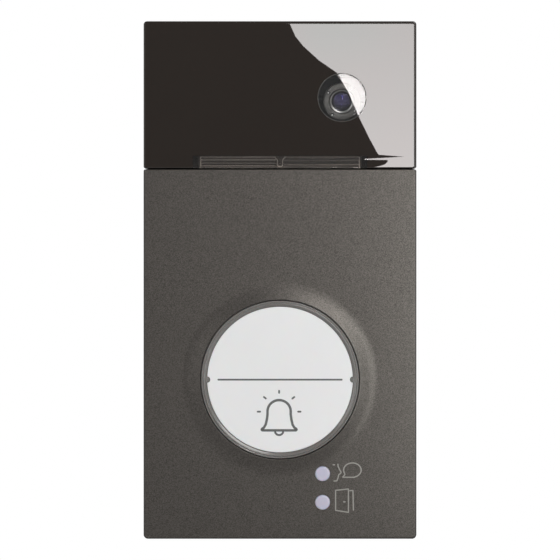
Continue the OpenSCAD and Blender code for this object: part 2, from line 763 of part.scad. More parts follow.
module button_board_holes() {
    for (x = [-22, 22]) for (y = [button_board_high - 9, button_board_low + 6])
        translate([x, y, 0]) children();
}

button_board_w = 52;
module button_board() color("darkgreen") upright() difference() {
    translate([0, (button_board_low + button_board_high) / 2, 0])
        block(button_board_w, button_board_high - button_board_low, button_board_z, button_board_top);
    button_board_holes() rod(1.1, button_board_z - 1, button_board_top + 1);
}

module button_board_screws() color("silver") upright() button_board_holes()
    translate([0, 0, button_board_z]) screw(1, chassis_top - 0.6 - button_board_z, 1.8, 1.1);

module switch_bodies() color("#1a1a1a") upright() at_switches() difference() {
    block(switch_w, switch_w, button_board_top, switch_top);
    rod(plunger_r + run_gap, button_board_top + 0.8, switch_top + 1);
}

// Plunger of the switch that lies above (1) or below (-1) the button's centre
module plunger(side) upright() translate([0, button_y + side * switch_reach, 0])
    rod(plunger_r, plunger_top - 2.6, plunger_top);
module upper_plunger() color("firebrick") plunger(1);
module lower_plunger() color("firebrick") plunger(-1);

module backlight_leds() color("lightyellow") upright() light_holes()
    block(3, 2.6, button_board_top, button_board_top + 1.2);

module indicator_leds() color("lightyellow") upright() at_pipes()
    block(3, 2.6, button_board_top, button_board_top + 0.6);

// One spring: a round wire swept up a helix of eight-sided rings
spring_r = 1.9;
wire_r = 0.2;
spring_turns = 3;
module spring(z0, z1) {
    sides = 8;
    rings = 14 * spring_turns;
    rise = z1 - z0 - 2 * wire_r;
    rings_xyz = [for (i = [0 : rings]) let (a = 360 * spring_turns * i / rings) for (j = [0 : sides - 1])
        let (b = 360 * j / sides, r = spring_r + wire_r * cos(b))
        [r * cos(a), r * sin(a), z0 + wire_r + rise * i / rings + wire_r * sin(b)]];
    walls = [for (i = [0 : rings - 1]) for (j = [0 : sides - 1]) let (k = (j + 1) % sides)
        [i * sides + j, i * sides + k, (i + 1) * sides + k, (i + 1) * sides + j]];
    ends = [[for (j = [sides - 1 : -1 : 0]) j], [for (j = [0 : sides - 1]) rings * sides + j]];
    polyhedron(rings_xyz, concat(walls, ends), convexity = 10);
}

module return_springs() color("silver") upright() at_springs() spring(chassis_top, carrier_z);

// ---------- call button ----------

module at_button() {
    upright() translate([0, button_y, 0]) children();
}

module button_seal() color("#3d3d3d") at_button() rotate_extrude() polygon([
    [button_r - 2.4, chassis_top], [well_in_r - 0.2, chassis_top], [well_in_r - 0.2, chassis_top + 0.7],
    [button_r - 1, chassis_top + 0.7], [button_r - 2.2, carrier_z - 0.8], [button_r - 1.6, carrier_z],
    [button_r - 3.2, carrier_z], [button_r - 3.2, carrier_z - 0.8]]);

module button_carrier() color("#e8e8e6") upright() difference() {
    union() {
        translate([0, button_y, 0]) rod(button_r - 1.25, carrier_z, carrier_top);
        at_switches() rod(2.4, plunger_top, carrier_z + 0.5);
        at_guides() rod(guide_pin_r, chassis_z + 0.6, carrier_z + 0.5);
    }
    translate([0, button_y, 0]) rod(13, carrier_z - 1, carrier_top + 1);
}

module light_guide() color("lightcyan") at_button() rod(guide_r, carrier_top, disc_back);

module button_ring() color("#8f8c88") at_button() {
    crest = disc_face + 0.5;
    ridge = 0.25;
    steps = 8;
    ridge_top = [for (i = [0 : steps]) let (a = 180 * i / steps)
        [disc_r + ring_w * (0.53 + 0.2 * cos(a)), crest - ridge + ridge * sin(a)]];
    top = concat([[button_r, crest - 0.7], [button_r - 0.15, crest - 0.45]], ridge_top,
        [[disc_r + 0.12, disc_face], [disc_r, disc_face - 0.12]]);
    rotate_extrude() polygon(concat([[guide_r + 0.2, carrier_top], [flange_r, carrier_top],
        [flange_r, cover_in - 0.2], [button_r, cover_in - 0.2]], top,
        [[disc_r, disc_back], [guide_r + 0.2, disc_back]]));
    for (side = [-1, 1]) intersection() {
        translate([side * disc_r, 0, 0]) rod(peg_r, disc_back, disc_face);
        rod(disc_r + ring_w / 2, disc_back, disc_face);
    }
}

module name_disc() color("white") at_button() difference() {
    rod(disc_r - 0.05, disc_back, disc_face);
    for (side = [-1, 1]) translate([side * disc_r, 0, 0]) rod(peg_r + 0.05, disc_back - 1, disc_face + 1);
}

// Light pipe with a flange under the cover
module light_pipe(y) upright() translate([pipe_x, y, 0]) {
    rod(pipe_r, chassis_z + 0.2, body_d + 0.1);
    rod(pipe_flange_r, cover_in - 1.1, cover_in - 0.1);
}
module talk_light_pipe() color("lavender") light_pipe(pipe_y);
module door_light_pipe() color("lavender") light_pipe(pipe_y - pipe_pitch);

wall_plate();
wall_seal();
rear_housing();
cable_grommet();
housing_seal();
housing_screws();
security_screw();
main_board();
board_screws();
terminal_block();
terminal_screws();
jumper_socket();
capacitors();
power_coil();
processor();
shield_can();
board_connector();
front_chassis();
front_screws();
front_cover();
camera_window();
window_tape();
camera_fascia();
sound_guide();
lens_window();
camera_bracket();
bracket_screws();
camera_body();
sensor_board();
lens_barrel();
front_lens();
camera_bezel();
bezel_leds();
camera_flex();
flex_connector();
speaker_basket();
speaker_cone();
speaker_magnet();
speaker_gasket();
microphone();
microphone_boot();
button_board();
button_board_screws();
switch_bodies();
upper_plunger();
lower_plunger();
backlight_leds();
indicator_leds();
return_springs();
button_seal();
button_carrier();
light_guide();
button_ring();
name_disc();
talk_light_pipe();
door_light_pipe();
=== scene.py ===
import json
import bpy
import bmesh
import numpy as np
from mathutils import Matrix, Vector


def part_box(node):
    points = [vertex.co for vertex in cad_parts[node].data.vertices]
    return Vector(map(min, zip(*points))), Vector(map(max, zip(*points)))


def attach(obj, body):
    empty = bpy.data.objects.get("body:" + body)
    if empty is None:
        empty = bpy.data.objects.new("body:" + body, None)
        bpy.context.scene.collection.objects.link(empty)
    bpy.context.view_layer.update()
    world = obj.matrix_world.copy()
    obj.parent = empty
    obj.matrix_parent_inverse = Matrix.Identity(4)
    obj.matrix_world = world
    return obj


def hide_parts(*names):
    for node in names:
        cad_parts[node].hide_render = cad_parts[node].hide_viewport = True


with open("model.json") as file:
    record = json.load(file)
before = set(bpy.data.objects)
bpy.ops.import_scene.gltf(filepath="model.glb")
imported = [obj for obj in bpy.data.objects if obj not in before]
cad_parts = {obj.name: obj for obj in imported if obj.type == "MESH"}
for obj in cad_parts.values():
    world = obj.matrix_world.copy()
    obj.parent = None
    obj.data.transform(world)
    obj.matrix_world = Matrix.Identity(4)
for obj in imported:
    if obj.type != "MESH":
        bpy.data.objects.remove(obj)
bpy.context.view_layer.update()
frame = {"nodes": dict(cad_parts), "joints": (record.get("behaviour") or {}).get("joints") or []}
mm = 0.001

# ---------- Wall plate ----------
# Pressed steel plate screwed to the wall or to a flush box, hot-dip galvanised, so that it shows
# broad dull crystals of zinc. It keeps the shape of its CAD node, as every piece of this half does.


def tone(red, green, blue):
    """A colour of a 0-255 paint chart in linear light: c / 12.92 when dark, else ((c + 0.055) / 1.055) ^ 2.4."""
    c = np.array([red, green, blue]) / 255
    return (*np.where(c <= 0.04045, c / 12.92, ((c + 0.055) / 1.055) ** 2.4), 1.0)


def pattern(name, sizes):
    """A node group that puts out Tone, Height and Smudge, from 0 to 1, worked out on Object coordinates."""
    group = bpy.data.node_groups.new(name, "ShaderNodeTree")
    for size, value in sizes.items():
        socket = group.interface.new_socket(size, in_out="INPUT", socket_type="NodeSocketFloat")
        socket.default_value = value
    for output in ("Tone", "Height", "Smudge"):
        group.interface.new_socket(output, in_out="OUTPUT", socket_type="NodeSocketFloat")
    return group, group.nodes.new("NodeGroupInput"), group.nodes.new("NodeGroupOutput")


def noise_in(group, scale, detail, where=None):
    """Noise of the given scale, read on Object coordinates or on the vector given."""
    node = group.nodes.new("ShaderNodeTexNoise")
    node.inputs["Detail"].default_value = detail
    if where is None:
        where = group.nodes.new("ShaderNodeTexCoord").outputs["Object"]
    group.links.new(where, node.inputs["Vector"])
    group.links.new(scale, node.inputs["Scale"])
    return node


def cells_in(group, scale):
    """Voronoi cells of the given scale, read on Object coordinates."""
    node = group.nodes.new("ShaderNodeTexVoronoi")
    at = group.nodes.new("ShaderNodeTexCoord")
    group.links.new(at.outputs["Object"], node.inputs["Vector"])
    group.links.new(scale, node.inputs["Scale"])
    return node


def put_out(group, out, **sources):
    """Links each source to the group's output of the same name."""
    for name, source in sources.items():
        group.links.new(source, out.inputs[name])


def finish(name, group, dark, light, rough, relief=0.0, sizes=None, wear_and_glint=None, **sockets):
    """Material whose colour runs between two tones by Tone, and its roughness between two values by Smudge.

    Height raises the surface by relief, and sharp edges turn to the given edge tone: rubbed wear on some pieces, a
    painted highlight along the edges on others. sizes go to the group and the rest to the shader's own sockets."""
    material = bpy.data.materials.new(name)
    material.use_nodes = True
    tree = material.node_tree
    shader = tree.nodes["Principled BSDF"]
    look = tree.nodes.new("ShaderNodeGroup")
    look.node_tree = group
    for size, value in (sizes or {}).items():
        look.inputs[size].default_value = value
    mix = tree.nodes.new("ShaderNodeMix")
    mix.data_type = "RGBA"
    first, second, blended = mix.inputs[6], mix.inputs[7], mix.outputs[2]     # its colour sockets
    first.default_value, second.default_value = dark, light
    tree.links.new(look.outputs["Tone"], mix.inputs["Factor"])
    if wear_and_glint:
        wear, over = tree.nodes.new("ShaderNodeGroup"), tree.nodes.new("ShaderNodeMix")
        wear.node_tree, over.data_type = edge_wear_and_glint, "RGBA"
        over.inputs[7].default_value = wear_and_glint
        tree.links.new(wear.outputs["Edge"], over.inputs["Factor"])
        tree.links.new(blended, over.inputs[6])
        blended = over.outputs[2]
    tree.links.new(blended, shader.inputs["Base Color"])
    spread = tree.nodes.new("ShaderNodeMapRange")
    spread.inputs["To Min"].default_value, spread.inputs["To Max"].default_value = rough
    tree.links.new(look.outputs["Smudge"], spread.inputs["Value"])
    tree.links.new(spread.outputs["Result"], shader.inputs["Roughness"])
    if relief:
        bump = tree.nodes.new("ShaderNodeBump")
        bump.inputs["Distance"].default_value = relief
        tree.links.new(look.outputs["Height"], bump.inputs["Height"])
        tree.links.new(bump.outputs["Normal"], shader.inputs["Normal"])
    for socket, value in sockets.items():
        shader.inputs[socket.replace("_", " ")].default_value = value
    return material


# Rubbed edges and painted edge highlights: where a normal rounded over a short reach leans away from the true one,
# the colour turns to the edge tone
edge_wear_and_glint = bpy.data.node_groups.new("edge_wear_and_glint", "ShaderNodeTree")
edge_wear_and_glint.interface.new_socket("Reach", in_out="INPUT",
                               socket_type="NodeSocketFloat").default_value = 0.12 * mm
edge_wear_and_glint.interface.new_socket("Edge", in_out="OUTPUT", socket_type="NodeSocketFloat")
given, out = edge_wear_and_glint.nodes.new("NodeGroupInput"), edge_wear_and_glint.nodes.new("NodeGroupOutput")
rounded, true = edge_wear_and_glint.nodes.new("ShaderNodeBevel"), edge_wear_and_glint.nodes.new("ShaderNodeNewGeometry")
lean, sharp = edge_wear_and_glint.nodes.new("ShaderNodeVectorMath"), edge_wear_and_glint.nodes.new("ShaderNodeMapRange")
lean.operation = "DOT_PRODUCT"
sharp.inputs["From Min"].default_value, sharp.inputs["From Max"].default_value = 0.995, 0.9
edge_wear_and_glint.links.new(given.outputs["Reach"], rounded.inputs["Radius"])
edge_wear_and_glint.links.new(rounded.outputs["Normal"], lean.inputs[0])
edge_wear_and_glint.links.new(true.outputs["Normal"], lean.inputs[1])
edge_wear_and_glint.links.new(lean.outputs["Value"], sharp.inputs["Value"])
edge_wear_and_glint.links.new(sharp.outputs["Result"], out.inputs["Edge"])


def dress(material, *names):
    """Puts a material on CAD nodes that keep their own shape."""
    for name in names:
        for slot in frame["nodes"][name].material_slots:
            slot.material = material


# Zinc crystals: each cell has its own tone, and cloudy noise dulls it
spangle, given, out = pattern("spangle", {"Crystals": 260.0})
cells = cells_in(spangle, given.outputs["Crystals"])
grey = spangle.nodes.new("ShaderNodeSeparateColor")
spangle.links.new(cells.outputs["Color"], grey.inputs["Color"])
dulling = noise_in(spangle, given.outputs["Crystals"], 4)
put_out(spangle, out, Tone=grey.outputs["Red"], Height=cells.outputs["Distance"],
        Smudge=dulling.outputs["Fac"])

zinc = finish("zinc_steel", spangle, tone(158, 162, 166), tone(186, 189, 193), (0.3, 0.55),
              relief=0.02 * mm, Metallic=1.0)
dress(zinc, "wall_plate")

# ---------- Seals and gaskets ----------
# Closed-cell foam strips between wall, housing, front and speaker, cut from sheet and stuck on:
# a dark skin full of small open pores.
pores, given, out = pattern("pores", {"Pore Size": 1600.0})
pits = cells_in(pores, given.outputs["Pore Size"])
bloom = noise_in(pores, given.outputs["Pore Size"], 2)
put_out(pores, out, Tone=pits.outputs["Distance"], Height=pits.outputs["Distance"],
        Smudge=bloom.outputs["Fac"])

foam = finish("cell_foam", pores, tone(38, 38, 40), tone(64, 64, 66), (0.75, 0.95), relief=0.08 * mm)
dress(foam, "wall_seal", "housing_seal", "speaker_gasket")

# ---------- Rear housing and cable grommet ----------
# Black ABS tub moulded in a spark-eroded tool, with a matt, finely pitted skin; the round entry of
# the cable is closed by a pressed-in rubber grommet with a dull bloom.
moulded, given, out = pattern("moulded_skin", {"Grain": 3200.0, "Clouds": 45.0})
pitting = noise_in(moulded, given.outputs["Grain"], 2)
clouds = noise_in(moulded, given.outputs["Clouds"], 5)
rubs = noise_in(moulded, given.outputs["Clouds"], 9)
put_out(moulded, out, Tone=clouds.outputs["Fac"], Height=pitting.outputs["Fac"], Smudge=rubs.outputs["Fac"])

housing = finish("housing_plastic", moulded, tone(30, 29, 28), tone(46, 45, 43), (0.42, 0.66),
                 relief=0.03 * mm,
                 wear_and_glint=tone(62, 60, 58))
dress(housing, "rear_housing")
rubber = finish("grommet_rubber", moulded, tone(22, 22, 22), tone(44, 43, 42), (0.6, 0.88),
                relief=0.02 * mm, sizes={"Grain": 1400.0, "Clouds": 160.0})
dress(rubber, "cable_grommet", "microphone_boot")

# ---------- Screws and springs ----------
# Cold-headed steel screws, zinc plated, with faint rings left by the tools that formed them, and
# return springs coiled from bright music wire.
drawn, given, out = pattern("drawn_steel", {"Lines": 2200.0})
stretch = drawn.nodes.new("ShaderNodeMapping")
stretch.inputs["Scale"].default_value = (1.0, 0.06, 1.0)
at = drawn.nodes.new("ShaderNodeTexCoord")
drawn.links.new(at.outputs["Object"], stretch.inputs["Vector"])
lines = noise_in(drawn, given.outputs["Lines"], 3, stretch.outputs["Vector"])
film = noise_in(drawn, given.outputs["Lines"], 6)
put_out(drawn, out, Tone=lines.outputs["Fac"], Height=lines.outputs["Fac"], Smudge=film.outputs["Fac"])

screw_steel = finish("screw_steel", drawn, tone(150, 150, 148), tone(206, 206, 204), (0.22, 0.42),
                     relief=0.01 * mm, wear_and_glint=tone(226, 226, 224), Metallic=1.0)
dress(screw_steel, "housing_screws", "security_screw", "board_screws", "terminal_screws",
      "front_screws", "bracket_screws", "button_board_screws")
spring_wire = finish("spring_wire", drawn, tone(178, 178, 176), tone(222, 222, 220), (0.14, 0.3),
                     Metallic=1.0)
dress(spring_wire, "return_springs")

# ---------- Printed circuit boards ----------
# Glass-fibre boards under green solder mask, in which the copper tracks stand up a little and look
# paler. The main board lies in the housing, the others behind the camera and the button.
tracks, given, out = pattern("copper_tracks", {"Track Pitch": 420.0})
ways = cells_in(tracks, given.outputs["Track Pitch"])
ways.distance, ways.feature = "MANHATTAN", "DISTANCE_TO_EDGE"
edge = tracks.nodes.new("ShaderNodeMapRange")
edge.inputs["From Min"].default_value, edge.inputs["From Max"].default_value = 0.08, 0.12
tracks.links.new(ways.outputs["Distance"], edge.inputs["Value"])
flux = noise_in(tracks, given.outputs["Track Pitch"], 5)
put_out(tracks, out, Tone=edge.outputs["Result"], Height=edge.outputs["Result"], Smudge=flux.outputs["Fac"])

board = finish("solder_mask", tracks, tone(12, 58, 34), tone(34, 96, 58), (0.25, 0.45), relief=0.03 * mm)
dress(board, "main_board", "sensor_board", "button_board")

# ---------- Parts on the boards ----------
# Terminals, sockets, capacitors, coil, chips, screening can and lights as they are bought: moulded
# nylon, printed sleeves, sintered ferrite, tinned sheet and clear resin.
bought = [
    ("terminal_green", tone(28, 112, 66), tone(46, 140, 86), (0.35, 0.5), 0.01, ["terminal_block"]),
    ("nylon_black", tone(20, 20, 20), tone(38, 38, 38), (0.4, 0.6), 0.01, ["jumper_socket", "switch_bodies"]),
    ("nylon_ivory", tone(206, 198, 176), tone(226, 220, 202), (0.35, 0.5), 0.01,
     ["board_connector", "flex_connector"]),
    ("capacitor_sleeve", tone(28, 34, 52), tone(48, 56, 80), (0.2, 0.38), 0.0, ["capacitors"]),
    ("chip_resin", tone(24, 24, 26), tone(42, 42, 44), (0.45, 0.6), 0.015, ["processor"]),
    ("led_resin", tone(232, 226, 190), tone(248, 244, 222), (0.15, 0.3), 0.0,
     ["backlight_leds", "indicator_leds"]),
    ("plunger_red", tone(150, 28, 26), tone(184, 46, 40), (0.35, 0.5), 0.01,
     ["upper_plunger", "lower_plunger"]),
]
for name, dark, light, rough, relief, nodes in bought:
    dress(finish(name, moulded, dark, light, rough, relief=relief * mm), *nodes)
ferrite = finish("coil_ferrite", moulded, tone(52, 50, 48), tone(84, 80, 76), (0.5, 0.75), relief=0.04 * mm,
                 sizes={"Grain": 1800.0, "Clouds": 300.0})
dress(ferrite, "power_coil")
tinned = finish("tinned_sheet", drawn, tone(168, 170, 172), tone(210, 212, 214), (0.25, 0.45),
                relief=0.01 * mm,
                Metallic=1.0)
dress(tinned, "shield_can", "microphone")

# ---------- Speaker ----------
# Pressed steel basket with a black coat, a doped paper cone and a nickel-plated magnet, clamped
# behind the front by a foam gasket.
basket = finish("basket_coat", moulded, tone(58, 58, 60), tone(84, 84, 86), (0.3, 0.5), relief=0.01 * mm,
                Metallic=0.6)
dress(basket, "speaker_basket")
fibres, given, out = pattern("paper_fibres", {"Fibres": 900.0})
mat = noise_in(fibres, given.outputs["Fibres"], 12)
blots = noise_in(fibres, given.outputs["Fibres"], 2)
mat.inputs["Distortion"].default_value = 2.5
put_out(fibres, out, Tone=mat.outputs["Fac"], Height=mat.outputs["Fac"], Smudge=blots.outputs["Fac"])
paper = finish("cone_paper", fibres, tone(96, 88, 76), tone(150, 140, 124), (0.7, 0.9), relief=0.06 * mm)
dress(paper, "speaker_cone")
nickel = finish("magnet_nickel", drawn, tone(176, 174, 168), tone(214, 212, 206), (0.12, 0.25), Metallic=1.0)
dress(nickel, "speaker_magnet")

# ---------- Chassis, fascia and sound guide ----------
# Black ABS frame that everything at the front is screwed to, the black mask behind the window and
# the louvred strip that leads the speaker's sound out at the split; tape bonds the window on.
chassis = finish("chassis_plastic", moulded, tone(26, 26, 26), tone(42, 42, 42), (0.45, 0.65),
                 relief=0.03 * mm)
dress(chassis, "front_chassis", "camera_bracket")
mask = finish("mask_black", moulded, tone(10, 10, 10), tone(17, 16, 16), (0.5, 0.7), relief=0.02 * mm)
dress(mask, "camera_fascia")
tape = finish("tape_black", moulded, tone(8, 8, 8), tone(15, 15, 15), (0.6, 0.8),
              sizes={"Grain": 900.0, "Clouds": 120.0})
dress(tape, "window_tape")
louvre = finish("louvre_plastic", moulded, tone(38, 36, 34), tone(48, 46, 44), (0.3, 0.5), relief=0.01 * mm)
dress(louvre, "sound_guide")

# ---------- Front cover ----------
# Aluminium shell, cast and sprayed with a fine warm grey metallic lacquer. A collar rises round the
# call button's hole and falls away as a cone that eases into the front; two holes let light pipes through.
window_low, window_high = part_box("camera_window")
cover_low, cover_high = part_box("front_cover")
disc_low, disc_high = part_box("name_disc")
button_up = (disc_low.z + disc_high.z) / 2
face = -window_low.y                       # the two covers' front, as a distance from the wall
back = -cover_high.y
half_width = cover_high.x
edge_round = 0.6 * mm
split_edge = 0.4                           # share of that rounding along the split
foot_corner, split_corner, top_corner = 1.5 * mm, 0.6 * mm, 1.2 * mm    # radii of the outline's corners


def stand(x, up, out):
    """Points of the panel from distance across, height and distance from the wall: (x, -out, up)."""
    return np.stack(np.broadcast_arrays(x, -np.asarray(out), up), -1).astype(float)


def skin(name, *grids, crease=32.0):
    """Closed mesh through grids of points (rows, columns, 3). Each cell is a face; ends that meet are merged,
    a row drawn to a point is a pole, and edges sharper than crease degrees stay sharp."""
    points, faces, start = [], [], 0
    for grid in grids:
        rows, columns = grid.shape[:2]
        at = start + np.arange(rows * columns).reshape(rows, columns)
        faces.append(np.stack([at[:-1, :-1], at[:-1, 1:], at[1:, 1:], at[1:, :-1]], -1).reshape(-1, 4))
        points.append(grid.reshape(-1, 3))
        start += rows * columns
    mesh = bpy.data.meshes.new(name)
    mesh.from_pydata(np.concatenate(points).tolist(), [], np.concatenate(faces).tolist())
    shape = bmesh.new()
    shape.from_mesh(mesh)
    bmesh.ops.remove_doubles(shape, verts=shape.verts, dist=0.002 * mm)
    bmesh.ops.recalc_face_normals(shape, faces=shape.faces)
    shape.to_mesh(mesh)
    shape.free()
    mesh.shade_smooth()
    mesh.set_sharp_from_angle(angle=np.radians(crease))
    piece = bpy.data.objects.new(name, mesh)
    bpy.context.scene.collection.objects.link(piece)
    return piece


def softened(corners, cut, steps=6):
    """Closed outline whose corners are cut back by cut along both sides and joined by a parabola:
    (1-u)^2 a + 2u(1-u) corner + u^2 b, with a and b the two cut points."""
    corners = np.asarray(corners, float)
    before, after = np.roll(corners, 1, 0) - corners, np.roll(corners, -1, 0) - corners
    lengths = [np.linalg.norm(side, axis=1, keepdims=True) for side in (before, after)]
    cut = np.minimum(np.broadcast_to(np.asarray(cut, float).reshape(-1, 1), lengths[0].shape),
                     0.45 * np.minimum(*lengths))
    a, b = corners + before / lengths[0] * cut, corners + after / lengths[1] * cut
    u = np.linspace(0, 1, steps)[None, :, None]
    line = (1 - u) ** 2 * a[:, None] + 2 * u * (1 - u) * corners[:, None] + u ** 2 * b[:, None]
    line = line.reshape(-1, 2)
    return np.concatenate([line, line[:1]])


def turned(profile, x, up, columns=120):
    """Grid of a profile of (radius, out) carried round an axis through (x, up): x + r cos a, up + r sin a."""
    r, out = np.asarray(profile, float).T[:, :, None]
    a = np.linspace(0, 2 * np.pi, columns + 1)[None]
    return stand(x + r * np.cos(a), up + r * np.sin(a), out + 0 * a)


def oblong(low, high, foot_r, top_r, inset, centre, share=(1, 1), per_side=40, per_corner=9):
    """Outline of the panel between two heights, moved in by inset (times share at its foot and its top), as
    (columns, 2) of x and height. Along a straight side the points lie at equal angles about centre; a corner
    is a quarter circle."""
    normals = np.array([[0, -1], [1, 0], [0, 1], [-1, 0]], float)
    radii = np.array([foot_r, foot_r, top_r, top_r])          # at the start of each side

    def corners(d):
        r = np.maximum(radii - d, 0.35 * mm)
        x = (half_width - d - r) * np.array([-1, 1, 1, -1])
        up = np.where(np.arange(4) < 2, low + share[0] * d + r, high - share[1] * d - r)
        return np.stack([x, up], -1), r

    here, r = corners(inset)
    base, base_r = corners(0)
    line = []
    for side in range(4):
        n, following = normals[side], (side + 1) % 4
        along = np.array([-n[1], n[0]])
        ends = np.stack([base[side] + base_r[side] * n, base[following] + base_r[following] * n]) - centre
        far, reach = ends @ n, ends @ along
        angles = np.linspace(*np.arctan2(reach, far), per_side)
        share = (far[0] * np.tan(angles) - reach[0]) / (reach[1] - reach[0])
        start, stop = here[side] + r[side] * n, here[following] + r[following] * n
        line.append(start + share[:, None] * (stop - start))
        turn = np.linspace(0, np.pi / 2, per_corner)[1:-1, None]
        line.append(here[following] + r[following] * (np.cos(turn) * n + np.sin(turn) * along))
    line = np.concatenate(line)
    return np.concatenate([line, line[:1]])


def shell(low, high, foot_r, top_r, share, centre, hole, wall, inside):
    """Grid of a front shell: rows from the hole's profile of (radius, out) over the flat front, which runs
    straight from circle to outline, round the edge (narrower by share at foot and top), down the side and
    back over the inner face."""
    centre = np.asarray(centre, float)
    rim = oblong(low, high, foot_r, top_r, 0, centre)
    ray = (rim - centre) / np.linalg.norm(rim - centre, axis=1, keepdims=True)
    bend = np.radians(np.linspace(90, 0, 8))
    edge = [(edge_round * 1.6, face)]
    edge += list(zip(edge_round * (1 - np.cos(bend)), face - edge_round * (1 - np.sin(bend))))
    edge += [(0, face - 3 * mm), (0, back + 0.3 * mm), (0.3 * mm, back), (wall - 0.2 * mm, back),
             (wall, back + 0.2 * mm), (wall, inside - 0.4 * mm), (wall + 0.4 * mm, inside)]
    rings = [(centre + radius * ray, out) for radius, out in hole]
    outlines = [(oblong(low, high, foot_r, top_r, inset, centre, share if inset < 2 * edge_round else (1, 1)),
                 out)
                for inset, out in edge]

    def across(a, b, steps=6):
        return [(a[0] + (b[0] - a[0]) * t, a[1] + (b[1] - a[1]) * t) for t in np.linspace(0, 1, steps)[1:-1]]

    rows = rings + across(rings[-1], outlines[0]) + outlines + across(outlines[-1], rings[0]) + rings[:1]
    return np.stack([stand(line[:, 0], line[:, 1], out) for line, out in rows])


def drilled(piece, *cutters):
    """Cuts closed meshes out of a piece with exact Booleans, and removes the cutters."""
    for cutter in cutters:
        cut = piece.modifiers.new("cut", "BOOLEAN")
        cut.object, cut.solver = cutter, "EXACT"
    solid = bpy.data.meshes.new_from_object(piece.evaluated_get(bpy.context.evaluated_depsgraph_get()))
    piece.modifiers.clear()
    piece.data = solid
    solid.shade_smooth()
    solid.set_sharp_from_angle(angle=np.radians(32))
    for cutter in cutters:
        bpy.data.meshes.remove(cutter.data)
    return piece


def face_places(piece):
    """Middle (x, height, distance from the wall) and outward lean of each face of a piece, as whole arrays."""
    count = len(piece.data.polygons)
    middles, leans = np.empty(count * 3), np.empty(count * 3)
    piece.data.polygons.foreach_get("center", middles)
    piece.data.polygons.foreach_get("normal", leans)
    x, y, up = middles.reshape(-1, 3).T
    return x, up, -y, -leans.reshape(-1, 3)[:, 1]


def paint(piece, materials, where):
    """Gives a piece several materials: each face takes the one whose number stands in where."""
    piece.data.materials.clear()
    for material in materials:
        piece.data.materials.append(material)
    piece.data.polygons.foreach_set("material_index", where.astype(np.int32))


def rod(radius, start, stop):
    """Profile of a plain rod from one distance to another, closed at its poles."""
    return [(0, start), (radius, start), (radius, stop), (0, stop)]


well = 27.3 * mm                           # radius of the button's hole
lip = 0.15 * mm
collar, cone_share = 6.5 * mm, 0.45        # a straight cone over this share of the slope, which then eases out
collar_rise = -cover_low.y - face
cover_wall, cover_inside = 1.8 * mm, face - 2 * mm
roll = np.radians(np.linspace(180, 90, 6))
t, drop = np.linspace(0, 1, 28)[1:], 2 / (1 + cone_share)
flare = np.where(t < cone_share, 1 - drop * t, drop * (1 - t) ** 2 / (2 - 2 * cone_share))
hole_profile = [(well, cover_inside), (well, face)]
hole_profile += list(zip(well + lip * (1 + np.cos(roll)), face + collar_rise - lip * (1 - np.sin(roll))))
hole_profile += list(zip(well + lip + (collar - lip) * t, face + collar_rise * flare))
hole_profile += [(well + collar + 0.6 * mm, face)]
pipe_centres = [(sum(v.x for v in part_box(n)) / 2, sum(v.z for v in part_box(n)) / 2)
                for n in ("talk_light_pipe", "door_light_pipe")]
pipe_hole = 2.65 * mm
bore, boss_r, boss_foot, boss_head = 1.25 * mm, 2.8 * mm, 18 * mm, 24.2 * mm
boss = [(bore, boss_foot), (boss_r, boss_foot), (boss_r, boss_head), (bore, boss_head), (bore, boss_foot)]
boss_x = half_width - 8.2 * mm
boss_heights = (button_up - 37.6 * mm, cover_high.z - 6 * mm)
bosses = [turned(boss, side * boss_x, up, 32) for side in (-1, 1) for up in boss_heights]
cover = skin("front_cover_shell",
             shell(cover_low.z, cover_high.z, foot_corner, split_corner, (1, split_edge), (0, button_up),
                   hole_profile, cover_wall, cover_inside),
             *bosses)
drills = [skin("pipe_drill", turned(rod(pipe_hole, cover_inside - 1 * mm, face + 1 * mm), x, up, 64))
          for x, up in pipe_centres]


def drill_from_below(x, out, profile):
    """Cutter of (radius, height above the foot) turned about an upright axis."""
    r, rise = np.array(profile, float).T[:, :, None]
    a = np.linspace(0, 2 * np.pi, 49)[None]
    return skin("foot_drill", stand(x + r * np.cos(a), cover_low.z + rise + 0 * a, out + r * np.sin(a)))


screw_low, screw_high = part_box("security_screw")
screw_out = -(screw_low.y + screw_high.y) / 2
mic_low, mic_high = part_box("microphone")
mic_out = -(mic_low.y + mic_high.y) / 2
seat_r = (screw_high.x - screw_low.x) / 2 + 0.3 * mm
drills += [drill_from_below(0, screw_out, rod(1.7 * mm, -1 * mm, 3 * mm)),
           drill_from_below(0, screw_out, rod(seat_r, -1 * mm, screw_low.z - cover_low.z + 1.3 * mm)),
           drill_from_below((mic_low.x + mic_high.x) / 2, mic_out, rod(0.7 * mm, -1 * mm, 3 * mm))]
drilled(cover, *drills)

flakes, given, out = pattern("metal_flakes", {"Flakes": 5200.0, "Clouds": 30.0})
chips = cells_in(flakes, given.outputs["Flakes"])
chip_tone = flakes.nodes.new("ShaderNodeSeparateColor")
flakes.links.new(chips.outputs["Color"], chip_tone.inputs["Color"])
handling = noise_in(flakes, given.outputs["Clouds"], 6)
put_out(flakes, out, Tone=chip_tone.outputs["Red"], Height=chip_tone.outputs["Green"],
        Smudge=handling.outputs["Fac"])

lacquer = finish("cover_lacquer", flakes, tone(63, 60, 57), tone(96, 92, 88), (0.38, 0.46), relief=0.005 * mm,
                 Metallic=0.85)
# Painted shade: the rounding along the sides and the foot takes a darker, duller lacquer, standing in for the shade
# these edges fall into
painted_edge_shade = finish("cover_painted_edge_shade", flakes, tone(32, 30, 28), tone(42, 40, 38), (0.45, 0.6), relief=0.005 * mm)
x, up, out, lean = face_places(cover)
shade_band = 0.45 * mm
shaded_rim = (np.abs(x) > half_width - shade_band) | (up < cover_low.z + shade_band)
paint(cover, [lacquer, painted_edge_shade], shaded_rim & (lean < 0.9))
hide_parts("front_cover")
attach(cover, "panel")

